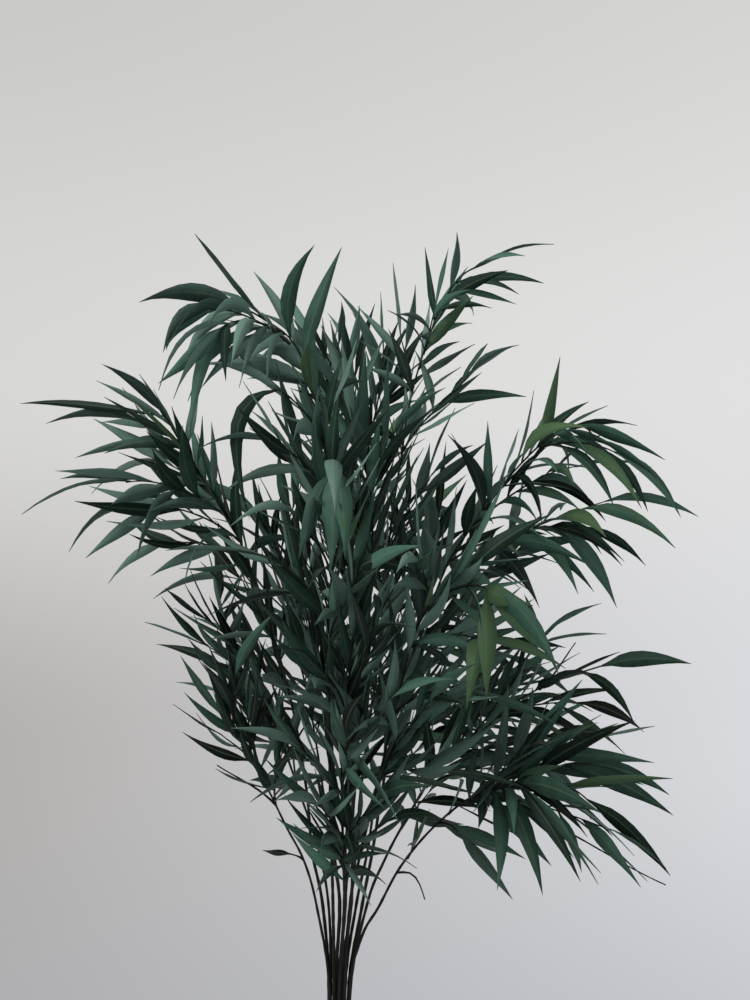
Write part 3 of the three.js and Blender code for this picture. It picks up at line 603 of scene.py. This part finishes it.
def clear_line(stem, make_line, wood):
    """The first of a line's sideways shifts that is clear of other stems' wood, or the clearest."""
    others = [twig["beads"] for twig in wood if twig["stem"] != stem]
    others = np.vstack(others) if others else np.full((1, 3), FAR_AWAY)
    best, best_gap = None, -1
    for step in range(NUDGES):
        angle = step * GOLDEN_ANGLE
        shift = np.array([math.cos(angle), math.sin(angle), 0.0]) * NUDGE * math.sqrt(step)
        made = make_line(shift)
        apart = beads(made[1])[:, None] - others[None]
        gap = min(WOOD_SPACING, math.sqrt((apart ** 2).sum(axis=2).min()))
        if gap > best_gap:
            best, best_gap = made, gap
        if best_gap >= WOOD_SPACING:
            break
    return best


def grow(stem, number, made, leafy, row, radius, tip_radius):
    """A stem, number 0, or one of its twigs: its lines, its thickness and how its leaves stand."""
    smooth, chain, stations = made
    return {
        "stem": stem, "number": number, "smooth": smooth, "chain": chain, "stations": stations,
        "beads": beads(chain), "leaf_start": chain[1][-1] * leafy,
        "leaf": row["leaf"], "hang": row.get("hang", 1),
        "radius": radius, "tip_radius": tip_radius,
    }


wood = []
for stem, row in enumerate(STEMS):
    made = clear_line(stem, lambda shift: stem_line(row, shift), wood)
    wood.append(grow(stem, 0, made, row["leafy"], row, STEM_RADIUS, STEM_TIP_RADIUS))
for stem, row in enumerate(STEMS):
    for i, side in enumerate(row["branches"]):
        made = clear_line(stem, lambda shift: branch_line(wood[stem]["chain"], side, shift), wood)
        wood.append(grow(stem, i + 1, made, TWIG_BARE, side, TWIG_RADIUS, TWIG_TIP_RADIUS))


def add_twig(bm, twig):
    """One twig: a small ring drawn along its line, swollen and narrowed a little along it, then closed.
    """
    line = twig["smooth"]
    length = line[1][-1]
    count = max(FEWEST_STATIONS, round(length / WOOD_STATION))
    ring = bmesh.ops.create_circle(bm, cap_ends=False, segments=WOOD_SIDES, radius=1)["verts"]
    bmesh.ops.contextual_create(bm, geom=ring)
    edges = list({edge for vert in ring for edge in vert.link_edges})
    base = [vert.co.copy() for vert in ring]
    for i in range(count + 1):
        if i > 0:
            made = bmesh.ops.extrude_edge_only(bm, edges=edges)["geom"]
            edges = [item for item in made if isinstance(item, bmesh.types.BMEdge) and item.is_boundary]
            ring = [item for item in made if isinstance(item, bmesh.types.BMVert)]
        point, along, over, side = frame_at(line, length * i / count)
        drift = SWELL_DRIFT * (draw(twig["stem"], twig["number"], i) - 0.5)
        swell = 1 + SWELL * math.sin(i * SWELL_TURN) + drift
        thick = mix(twig["radius"], twig["tip_radius"], (i / count) ** TAPER) * swell
        for vert, start in zip(ring, base):
            vert.co = Vector((point + (side * start.x + over * start.y) * thick) * MM)
    bmesh.ops.contextual_create(bm, geom=ring)


def bark_material():
    material, tree, skin, link = shader("dark_bark")
    place = tree.nodes.new("ShaderNodeTexCoord")
    split = tree.nodes.new("ShaderNodeSeparateXYZ")
    height = tree.nodes.new("ShaderNodeMapRange")
    height.inputs["From Min"].default_value = 0.25
    height.inputs["From Max"].default_value = 0.75
    streak = tree.nodes.new("ShaderNodeTexNoise")
    streak.inputs["Scale"].default_value = 140
    streak.inputs["Detail"].default_value = 4
    stretch = tree.nodes.new("ShaderNodeMapping")
    stretch.inputs["Scale"].default_value = (1, 1, 0.12)
    wood_tint = add_ramp(tree, [(0.3, (0.004, 0.004, 0.004)), (0.7, (0.012, 0.011, 0.010))])
    green_tint = add_ramp(tree, [(0.3, (0.006, 0.009, 0.006)), (0.7, (0.016, 0.022, 0.013))])
    blend = tree.nodes.new("ShaderNodeMix")
    blend.data_type = "RGBA"
    rise = tree.nodes.new("ShaderNodeBump")
    rise.inputs["Strength"].default_value = 0.5
    rise.inputs["Distance"].default_value = 0.0004
    link(place.outputs["Object"], split.inputs["Vector"])
    link(split.outputs["Z"], height.inputs["Value"])
    link(place.outputs["Object"], stretch.inputs["Vector"])
    link(stretch.outputs["Vector"], streak.inputs["Vector"])
    link(streak.outputs["Fac"], wood_tint.inputs["Fac"])
    link(streak.outputs["Fac"], green_tint.inputs["Fac"])
    link(height.outputs["Result"], blend.inputs["Factor"])
    link(wood_tint.outputs["Color"], blend.inputs["A"])
    link(green_tint.outputs["Color"], blend.inputs["B"])
    link(blend.outputs["Result"], skin.inputs["Base Color"])
    link(streak.outputs["Fac"], rise.inputs["Height"])
    link(rise.outputs["Normal"], skin.inputs["Normal"])
    skin.inputs["Roughness"].default_value = 0.62
    skin.inputs["Specular IOR Level"].default_value = 0.15
    return material


bark = bark_material()
for stem, row in enumerate(STEMS):
    bm = bmesh.new()
    for twig in wood:
        if twig["stem"] == stem:
            add_twig(bm, twig)
    bmesh.ops.recalc_face_normals(bm, faces=bm.faces)
    new_piece(f"{row['name']}_wood", bm, bark, f"stem_{row['name']}")

# The leaves. Narrow sickle leaves of preserved eucalyptus, dyed a dark blue-green and kept supple
# with glycerine: a short stalk, a pale midrib and a long thin tip, thin as card. They stand in a
# spiral round each twig, turned every way, and are paler and greyer underneath.
LEAF_PITCH = 18
LEAF_LENGTH = (60, 100)
LEAF_SLENDERNESS = (0.1, 0.145)
LEAF_SINK = 4
LEAF_CHOICES = 12
CHOICE_TURN = 1.1
TURN_DRIFT = (-0.6, 0.6)
FOOT_OPENING = 0.85
HEAD_OPENING = 0.5
OPENING_DRIFT = (0.35, 1.6)
END_OPENING = (0.05, 0.25)
LEAF_SAG = (0.3, 0.9)
SAG_BY_FLATNESS = (0.3, 1.1)
LEAF_SWAY = (-0.6, 0.6)
LEAF_ROLL = (0.3, 2.8)
LEAF_TWIST = (-0.6, 0.6)
BEND_PLACE = 0.42
BEND_REACH = 0.6
INNER_OPENING = 0.75
INNER_LENGTH = 0.85
INNER_HANG = -1.1
SEED = 30
TONE_DRAW = 97
SAME_PLACE = 0.05


def within(span, share):
    """The value at a share of a span."""
    return mix(span[0], span[1], share)


def leaf_slots(twig):
    """How many leaf places a twig has, one pitch apart."""
    return math.floor((twig["chain"][1][-1] - twig["leaf_start"]) / LEAF_PITCH) + 1


def leaf_shape(twig, slot, slots, choice, key, inner=0):
    """How one leaf grows: where it leaves its twig, its length and width, its bend and its roll.

    An inner leaf, deep in the bunch, is shorter, keeps close to its twig and stands up.
    """

    def pick(what):
        return draw(SEED, twig["stem"], twig["number"], key, choice, what)

    share = slot / (slots - 1) if slots > 1 else 1
    distance = mix(twig["leaf_start"], twig["chain"][1][-1], share)
    point, along, over, side = frame_at(twig["chain"], distance)
    turn = slot * GOLDEN_ANGLE + choice * CHOICE_TURN + within(TURN_DRIFT, pick(1))
    side_opening = mix(FOOT_OPENING, HEAD_OPENING, share) * within(OPENING_DRIFT, pick(2))
    opening = within(END_OPENING, pick(2)) if slot == slots - 1 else side_opening
    opening *= mix(1, INNER_OPENING, inner)
    start = along * math.cos(opening)
    start = start + side * (math.sin(opening) * math.cos(turn))
    start = start + over * (math.sin(opening) * math.sin(turn))
    length = within(LEAF_LENGTH, pick(3)) * twig["leaf"] * mix(1, INNER_LENGTH, inner)
    width = length * within(LEAF_SLENDERNESS, pick(4))
    flatness = math.sqrt(1 - min(1, start[2] * start[2]))
    hang = mix(twig["hang"], INNER_HANG, inner)
    sag = within(LEAF_SAG, pick(5)) * within(SAG_BY_FLATNESS, flatness) * hang
    level = unit(np.array([-start[1], start[0], 0.0]))
    end = unit(start - UP * sag + level * within(LEAF_SWAY, pick(6)))
    middle = point + start * (length * BEND_PLACE)
    tip = middle + end * (length * BEND_REACH)
    return {
        "root": point_at(twig["chain"], distance - LEAF_SINK), "middle": middle, "tip": tip,
        "width": width, "roll": within(LEAF_ROLL, pick(7)), "twist": within(LEAF_TWIST, pick(8)),
        "distance": distance, "tone": draw(SEED, twig["stem"], twig["number"], key, TONE_DRAW),
    }


def leaf_line(shape, root, shares):
    """The bent middle line of a leaf that starts at its root, at shares of its length."""
    t = shares[:, None]
    return root * (1 - t) ** 2 + shape["middle"] * 2 * t * (1 - t) + shape["tip"] * t * t


def tips_of(node):
    """A search tree over the corners of a CAD node, in millimetres."""
    corners = {tuple(round(value / MM, 3) for value in vert.co) for vert in node.data.vertices}
    tree = KDTree(len(corners))
    for i, corner in enumerate(sorted(corners)):
        tree.insert(corner, i)
    tree.balance()
    return tree


# Each leaf of the CAD solid is found again by its tip, and its finer twin grows in the same place.
leaves = [[] for row in STEMS]
corners = [tips_of(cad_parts[f"stem_{row['name']}"]) for row in STEMS]
leafy_twigs = [twig for twig in wood if twig["leaf"] > 0]
for twig in leafy_twigs:
    slots = leaf_slots(twig)
    for slot in range((slots - 1) % 2, slots, 2):
        for choice in range(LEAF_CHOICES):
            shape = leaf_shape(twig, slot, slots, choice, slot)
            if corners[twig["stem"]].find(shape["tip"])[2] < SAME_PLACE:
                leaves[twig["stem"]].append((twig, shape))
                break

# Leaves between those of the CAD solid fill the twigs as on the real branches. Each takes the
# freest of its possible places, and those near the bunch's heart are inner leaves.
HEART = (-30, 0, 570)
HEART_REACH = (170, 420, 250)
INNER_REACH = 1.2
INNER_FADE = 0.55
CROWDED_REACH = 205
CROWDED_DEPTH = 2
EXTRA_PLACES = 2
EXTRA_CHOICES = 8
EXTRA_KEYS = 1000
EXTRA_SPACING = 5.0
LEAF_BEADS = np.linspace(0, 1, 7)[2:]


def off_heart(place):
    """How far a place is from the bunch's heart: 0 in the middle, 1 where the heart ends."""
    return float(np.linalg.norm((place - HEART) / HEART_REACH))


low_corner, high_corner = np.array(cad_box) / MM
crowd = [leaf_line(shape, shape["root"], LEAF_BEADS) for grown in leaves for twig, shape in grown]
crowd = np.vstack(crowd)
for twig in leafy_twigs:
    slots = leaf_slots(twig)
    for place in range(EXTRA_PLACES * (slots - 1)):
        slot = place / EXTRA_PLACES
        between = slot != int(slot)
        if not between and (slots - 1 - int(slot)) % 2 == 0:
            continue
        along = mix(twig["leaf_start"], twig["chain"][1][-1], slot / (slots - 1))
        here = point_at(twig["chain"], along)
        if between and math.hypot(here[0], here[1] / CROWDED_DEPTH) > CROWDED_REACH:
            continue
        inner = min(1, max(0, (INNER_REACH - off_heart(here)) / INNER_FADE))
        best, best_gap = None, EXTRA_SPACING
        for choice in range(EXTRA_CHOICES):
            shape = leaf_shape(twig, slot, slots, choice, EXTRA_KEYS + place, inner)
            line = leaf_line(shape, shape["root"], LEAF_BEADS)
            if (line < low_corner).any() or (line > high_corner).any():
                continue
            gap = math.sqrt(((line[:, None] - crowd[None]) ** 2).sum(axis=2).min())
            if gap > best_gap:
                best, best_gap = (shape, line), gap
        if best:
            leaves[twig["stem"]].append((twig, best[0]))
            crowd = np.vstack([crowd, best[1]])

# Long leaves that stand free in front or at the left, each hung from the nearest place on its
# stem's twigs: the stem, the places of the leaf's middle and tip, its width, its turn away from the
# front and its tone.
LONE_PLACES = 24
LONE_TWIST = 0.2
SIGHT = (0, 1, 0)
LONE_LEAVES = (
    ("left_arch_front", (-91, -178, 769), (-64, -165, 675), 10, 0.0, 0.15),
    ("left_arch_front", (-102, -182, 806), (-108, -178, 735), 9, -0.2, 0.55),
    ("left_arch_front", (-122, -180, 827), (-126, -176, 803), 8, 0.1, 0.55),
    ("left_arch_front", (-98, -190, 802), (-130, -186, 777), 11, 0.2, 0.6),
    ("left_arch_front", (-82, -192, 816), (-79, -190, 778), 8, -0.1, 0.2),
    ("left_arch_front", (3, -200, 690), (-1, -196, 635), 14, -0.3, 0.62),
    ("left_arch_front", (11, -205, 697), (10, -200, 646), 13, 0.3, 0.8),
    ("left_arch_front", (-14, -198, 690), (-25, -192, 645), 12, 0.0, 0.5),
    ("left_arch_front", (21, -200, 657), (69, -190, 632), 11, 0.0, 0.1),
    ("right_front", (110, -178, 584), (101, -172, 529), 12, -0.2, 0.95),
    ("right_front", (116, -182, 585), (116, -178, 539), 13, 0.2, 1.0),
    ("right_front", (119, -180, 618), (152, -176, 610), 13, 0.0, 1.0),
    ("right_front", (138, -176, 596), (165, -172, 572), 9, 0.1, 0.7),
    ("left_high", (-239, -30, 779), (-278, -34, 774), 6, 0.0, 0.1),
)


def nearest_place(name, goal):
    """The twig of a named stem, and the distance along it, that lie nearest to a place."""
    best, best_gap = None, math.inf
    for twig in wood:
        if STEMS[twig["stem"]]["name"] == name and twig["number"] > 0:
            for distance in np.linspace(twig["leaf_start"], twig["chain"][1][-1], LONE_PLACES):
                gap = math.dist(point_at(twig["chain"], distance), goal)
                if gap < best_gap:
                    best, best_gap = (twig, distance), gap
    return best


for name, middle, tip, width, turn, tone in LONE_LEAVES:
    middle, tip = np.array(middle, float), np.array(tip, float)
    twig, distance = nearest_place(name, middle)
    root = point_at(twig["chain"], distance - LEAF_SINK)
    across = unit(np.cross(middle - root, tip - middle))
    along = unit(tip - root)
    wide = unit(np.cross(along, SIGHT))
    roll = math.atan2(wide @ np.cross(across, along), wide @ across) + math.pi + turn
    shape = {
        "root": root, "middle": middle, "tip": tip, "width": width, "roll": roll,
        "twist": LONE_TWIST, "distance": distance, "tone": tone,
    }
    leaves[twig["stem"]].append((twig, shape))

# A leaf's form: its lance blade, folded along the rib and waved at the edges, its stalk, and its
# thickness, which falls off from the rib to the edges and from the foot to the tip. Corners of the
# flat leaf that lie below UNDERSIDE are on its lower face.
BLADE_STEPS = 8
BLADE_LEAN = 0.72
BLADE_POINT = 1.2
BLADE_FULLNESS = 1.18
BLADE_FOLD = 0.22
BLADE_WAVE = 0.12
WAVE_ANGLE = 9
STALK_SHARE = 0.07
STALK_WIDTH = 1.0
STALK_TAPER = 0.6
STALK_FADE = 6
TIP_WIDTH = 0.12
LEAF_THICKNESS = 0.45
RIB_THICKNESS = 1.6
EDGE_THINNING = 0.9
FOOT_THICKNESS = 1.2
TIP_THINNING = 0.6
UNDERSIDE = -0.25


def leaf_blank():
    """One flat leaf to copy: half a unit to each side, one unit long and one thick."""
    bm = bmesh.new()
    bm.loops.layers.uv.new("leaf")
    bmesh.ops.create_grid(bm, x_segments=2, y_segments=BLADE_STEPS, size=0.5, calc_uvs=True)
    bmesh.ops.translate(bm, verts=bm.verts, vec=(0, 0.5, 0))
    bmesh.ops.recalc_face_normals(bm, faces=bm.faces)
    bmesh.ops.solidify(bm, geom=bm.faces[:], thickness=1)
    mesh = bpy.data.meshes.new("leaf_blank")
    bm.to_mesh(mesh)
    bm.free()
    return mesh


def half_width(share, width):
    """Half a leaf's width at shares of its length: a stalk, then a blade with a long point."""
    blade = np.clip((share - STALK_SHARE) / (1 - STALK_SHARE), 0, 1)
    lance = np.sin(np.pi * blade ** BLADE_LEAN) ** BLADE_POINT
    stalk = STALK_WIDTH * (1 - STALK_TAPER * blade)
    return np.maximum(width * lance, stalk * (1 - blade ** STALK_FADE) + TIP_WIDTH) / 2


def leaf_frames(shape, shares):
    """Directions along a leaf, across its blade and out of its face, at shares of its length."""
    first = shape["middle"] - shape["root"]
    second = shape["tip"] - shape["middle"]
    across = unit(np.cross(first, second))
    along = first + (second - first) * shares[:, None]
    along /= np.linalg.norm(along, axis=1, keepdims=True)
    angle = (shape["roll"] + shape["twist"] * shares)[:, None]
    flat = across * np.cos(angle) + np.cross(across, along) * np.sin(angle)
    return flat, np.cross(flat, along)


def smooth_distance(twig, distance):
    """A distance along the chain as the distance along the smooth line beside it."""
    return float(np.interp(distance, twig["chain"][1], twig["stations"]))


def shaped_leaf(blank, twig, shape):
    """The corners of one leaf, bent on its curve, folded along its midrib and waved at its edges."""
    sideways, share, level = blank[:, 0] * 2, blank[:, 1], blank[:, 2]
    root = point_at(twig["smooth"], smooth_distance(twig, shape["distance"] - LEAF_SINK))
    flat, face = leaf_frames(shape, share)
    half = half_width(share, shape["width"] * BLADE_FULLNESS)
    fold = BLADE_FOLD * np.abs(sideways) * half
    wave = BLADE_WAVE * half * sideways * np.sin(WAVE_ANGLE * share + math.tau * shape["tone"])
    thinning = RIB_THICKNESS - EDGE_THINNING * np.abs(sideways)
    thinning = thinning * (FOOT_THICKNESS - TIP_THINNING * share)
    out = sideways * half
    up = fold + wave + level * LEAF_THICKNESS * thinning
    return leaf_line(shape, root, share) + flat * out[:, None] + face * up[:, None]


# A leaf's colour: the spread of the dye over the leaves, painted shade that darkens leaves near the
# bunch's heart, and a tone shift for some stems, which is painted light where it pales the front and
# upper left stems, painted shade where it darkens right_low, and partly the leaves' own colour. Then
# the clouds, the rib and the side veins.
DYE_SPREAD = 0.9
HEART_SHADE = 0.5
# partly painted light and shade: paler on the front and upper left stems, darker on right_low, and
# partly the leaves' own colour
STEM_PAINTED_LIGHT_AND_TONE = {"left_arch_front": 0.16, "right_front": 0.2, "left_high": 0.05, "right_low": -0.05}
CLOUD_SHARE = 0.25
RIB_TINT = 0.3
RIB_RELIEF = 1.6
VEIN_COUNT = 190
VEIN_SLANT = -42
VEIN_RELIEF = 0.25


def leaf_tone_with_painted_light(name, shape):
    """A leaf's tone: its draw, its stem's shift (partly painted light), and painted shade near the
    heart.
    """
    # painted shade: the nearer a leaf is to the bunch's heart, the darker it is painted
    painted_shade = HEART_SHADE * (1 - min(1, off_heart(shape["middle"])))
    return shape["tone"] * DYE_SPREAD + STEM_PAINTED_LIGHT_AND_TONE.get(name, 0) - painted_shade


def leaf_material():
    material, tree, skin, link = shader("preserved_leaf")

    def node(kind, **settings):
        made = tree.nodes.new("ShaderNode" + kind)
        for name, value in settings.items():
            setattr(made, name, value)
        return made

    def math_step(operation, a, b=0):
        made = node("Math", operation=operation)
        for socket, value in zip(made.inputs, (a, b)):
            if isinstance(value, (int, float)):
                socket.default_value = value
            else:
                link(value, socket)
        return made.outputs["Value"]

    tone = node("Attribute", attribute_name="tone")
    under = node("Attribute", attribute_name="under")
    uv = node("UVMap", uv_map="leaf")
    split = node("SeparateXYZ")
    link(uv.outputs["UV"], split.inputs["Vector"])
    place = node("TexCoord")

    # Dye and painted light: each leaf's tone, darkened as painted shade near the bunch's heart and
    # paled as painted light on some stems, clouded where the dye was drawn up unevenly.
    cloud = node("TexNoise")
    cloud.inputs["Scale"].default_value = 90
    cloud.inputs["Detail"].default_value = 4
    link(place.outputs["Object"], cloud.inputs["Vector"])
    clouded = math_step("MULTIPLY", cloud.outputs["Fac"], CLOUD_SHARE)
    clouded = math_step("ADD", tone.outputs["Fac"], clouded)
    top = add_ramp(tree, [
        (0.05, (0.002, 0.005, 0.0035)),
        (0.42, (0.012, 0.031, 0.021)),
        (0.85, (0.048, 0.112, 0.084)),
        (1.00, (0.056, 0.104, 0.050)),
    ])
    below = add_ramp(tree, [
        (0.05, (0.008, 0.017, 0.014)),
        (0.95, (0.100, 0.178, 0.148)),
    ])
    link(clouded, top.inputs["Fac"])
    link(clouded, below.inputs["Fac"])
    sides = node("Mix", data_type="RGBA")
    link(under.outputs["Fac"], sides.inputs["Factor"])
    link(top.outputs["Color"], sides.inputs["A"])
    link(below.outputs["Color"], sides.inputs["B"])

    # Midrib: a pale line down the middle, with fine slanting side veins.
    offset = math_step("ABSOLUTE", math_step("SUBTRACT", split.outputs["X"], 0.5))
    rib = node("MapRange", interpolation_type="SMOOTHSTEP")
    rib.inputs["From Min"].default_value = 0.09
    rib.inputs["From Max"].default_value = 0.02
    link(offset, rib.inputs["Value"])
    ribbed = node("Mix", data_type="RGBA")
    ribbed.inputs["B"].default_value = (0.100, 0.150, 0.085, 1)
    link(math_step("MULTIPLY", rib.outputs["Result"], RIB_TINT), ribbed.inputs["Factor"])
    link(sides.outputs["Result"], ribbed.inputs["A"])
    link(ribbed.outputs["Result"], skin.inputs["Base Color"])

    along = math_step("MULTIPLY", split.outputs["Y"], VEIN_COUNT)
    slant = math_step("ADD", along, math_step("MULTIPLY", offset, VEIN_SLANT))
    veins = math_step("SINE", slant)
    grain = node("TexNoise")
    grain.inputs["Scale"].default_value = 900
    link(place.outputs["Object"], grain.inputs["Vector"])
    relief = math_step("ADD", math_step("MULTIPLY", veins, VEIN_RELIEF), grain.outputs["Fac"])
    relief = math_step("ADD", relief, math_step("MULTIPLY", rib.outputs["Result"], RIB_RELIEF))
    rise = node("Bump")
    rise.inputs["Strength"].default_value = 0.35
    rise.inputs["Distance"].default_value = 0.0003
    link(relief, rise.inputs["Height"])
    link(rise.outputs["Normal"], skin.inputs["Normal"])
    skin.inputs["Roughness"].default_value = 0.5
    skin.inputs["Specular IOR Level"].default_value = 0.1
    return material


leaf_skin = leaf_material()
blank_mesh = leaf_blank()
blank = np.empty(len(blank_mesh.vertices) * 3)
blank_mesh.vertices.foreach_get("co", blank)
blank = blank.reshape(-1, 3)
for row, grown in zip(STEMS, leaves):
    bm = bmesh.new()
    for _ in grown:
        bm.from_mesh(blank_mesh)
    mesh = bpy.data.meshes.new(f"{row['name']}_leaves")
    bm.to_mesh(mesh)
    bm.free()
    placed = np.vstack([shaped_leaf(blank, twig, shape) for twig, shape in grown])
    mesh.vertices.foreach_set("co", (placed * MM).ravel())
    # each leaf's tone, with its painted shade and painted light, goes into the tone attribute
    tones_with_painted_light = np.repeat([leaf_tone_with_painted_light(row["name"], shape) for twig, shape in grown], len(blank))
    mesh.attributes.new("tone", "FLOAT", "POINT").data.foreach_set("value", tones_with_painted_light)
    lower = np.tile((blank[:, 2] < UNDERSIDE).astype(float), len(grown))
    mesh.attributes.new("under", "FLOAT", "POINT").data.foreach_set("value", lower)
    mesh.update()
    dress(mesh, leaf_skin, f"stem_{row['name']}")
bpy.data.meshes.remove(blank_mesh)

# The floor. A round pale table top that the vase stands on, matt and faintly uneven. It is there
# for the picture alone and isn't part of the object.
FLOOR_RADIUS = 0.5
FLOOR_SIDES = 128
FLOOR_DROP = 0.0005


def floor_material():
    material, tree, skin, link = shader("pale_floor")
    place = tree.nodes.new("ShaderNodeTexCoord")
    cloud = tree.nodes.new("ShaderNodeTexNoise")
    cloud.inputs["Scale"].default_value = 9
    tint = add_ramp(tree, [(0.3, (0.60, 0.59, 0.57)), (0.7, (0.66, 0.65, 0.63))])
    link(place.outputs["Object"], cloud.inputs["Vector"])
    link(cloud.outputs["Fac"], tint.inputs["Fac"])
    link(tint.outputs["Color"], skin.inputs["Base Color"])
    skin.inputs["Roughness"].default_value = 0.8
    return material


bm = bmesh.new()
bmesh.ops.create_circle(bm, cap_ends=True, segments=FLOOR_SIDES, radius=FLOOR_RADIUS)
bmesh.ops.translate(bm, verts=bm.verts, vec=(0, 0, -FLOOR_DROP))
floor_mesh = bpy.data.meshes.new("floor")
bm.to_mesh(floor_mesh)
bm.free()
floor_mesh.materials.append(floor_material())
floor = bpy.data.objects.new("floor", floor_mesh)
bpy.context.scene.collection.objects.link(floor)

# The light. A pale room all round, lighter to the right and warmer to the lower left, and one large
# soft window from the upper left in front of the bunch.
BACKDROP_STRENGTH = 1.0
WINDOW_PLACE = (-1.1, -1.0, 1.75)
WINDOW_AIM = (0, 0, 0.62)
WINDOW_SIZE = 1.1
WINDOW_POWER = 33
WINDOW_COLOUR = (1.0, 0.985, 0.96)


def room_light():
    world = bpy.data.worlds.new("room")
    world.use_nodes = True
    tree = world.node_tree
    link = tree.links.new
    place = tree.nodes.new("ShaderNodeTexCoord")
    split = tree.nodes.new("ShaderNodeSeparateXYZ")
    link(place.outputs["Generated"], split.inputs["Vector"])
    rise = tree.nodes.new("ShaderNodeMapRange")
    rise.inputs["From Min"].default_value = -0.45
    rise.inputs["From Max"].default_value = 0.45
    link(split.outputs["Z"], rise.inputs["Value"])
    across = tree.nodes.new("ShaderNodeMapRange")
    across.inputs["From Min"].default_value = -0.35
    across.inputs["From Max"].default_value = 0.35
    link(split.outputs["X"], across.inputs["Value"])
    left = add_ramp(tree, [
        (0.0, (0.400, 0.400, 0.418)),
        (0.28, (0.430, 0.415, 0.400)),
        (0.6, (0.675, 0.670, 0.655)),
        (1.0, (0.555, 0.562, 0.535)),
    ])
    right = add_ramp(tree, [
        (0.0, (0.555, 0.575, 0.620)),
        (0.3, (0.710, 0.720, 0.755)),
        (0.6, (0.760, 0.760, 0.760)),
        (1.0, (0.655, 0.655, 0.640)),
    ])
    left.color_ramp.interpolation = "EASE"
    right.color_ramp.interpolation = "EASE"
    link(rise.outputs["Result"], left.inputs["Fac"])
    link(rise.outputs["Result"], right.inputs["Fac"])
    blend = tree.nodes.new("ShaderNodeMix")
    blend.data_type = "RGBA"
    link(across.outputs["Result"], blend.inputs["Factor"])
    link(left.outputs["Color"], blend.inputs["A"])
    link(right.outputs["Color"], blend.inputs["B"])
    sky = tree.nodes["Background"]
    sky.inputs["Strength"].default_value = BACKDROP_STRENGTH
    link(blend.outputs["Result"], sky.inputs["Color"])
    return world


def facing(place, aim):
    """An object's turn that points it from its place to its aim."""
    return (Vector(aim) - Vector(place)).to_track_quat("-Z", "Y").to_euler()


bpy.context.scene.world = room_light()
window = bpy.data.lights.new("window", "AREA")
window.shape = "DISK"
window.size = WINDOW_SIZE
window.energy = WINDOW_POWER
window.color = WINDOW_COLOUR
window_object = bpy.data.objects.new("window", window)
window_object.location = WINDOW_PLACE
window_object.rotation_euler = facing(WINDOW_PLACE, WINDOW_AIM)
bpy.context.scene.collection.objects.link(window_object)

# The camera. It stands 1.1 m in front of the vase's axis, level with the upper half of the bunch,
# and looks straight along +Y. The frame's height is measured at the axis.
CAMERA_PLACE = (0.032, -1.1, 0.690)
FRAME_HEIGHT = 0.900
SENSOR = 36

camera = bpy.data.cameras.new("camera")
camera.sensor_width = SENSOR
camera.lens = SENSOR * -CAMERA_PLACE[1] / FRAME_HEIGHT
camera.clip_start = 0.05
camera.clip_end = 20
camera_object = bpy.data.objects.new("camera", camera)
camera_object.location = CAMERA_PLACE
camera_object.rotation_euler = (math.radians(90), 0, 0)
bpy.context.scene.collection.objects.link(camera_object)
bpy.context.scene.camera = camera_object
bpy.context.scene.view_settings.view_transform = "Standard"
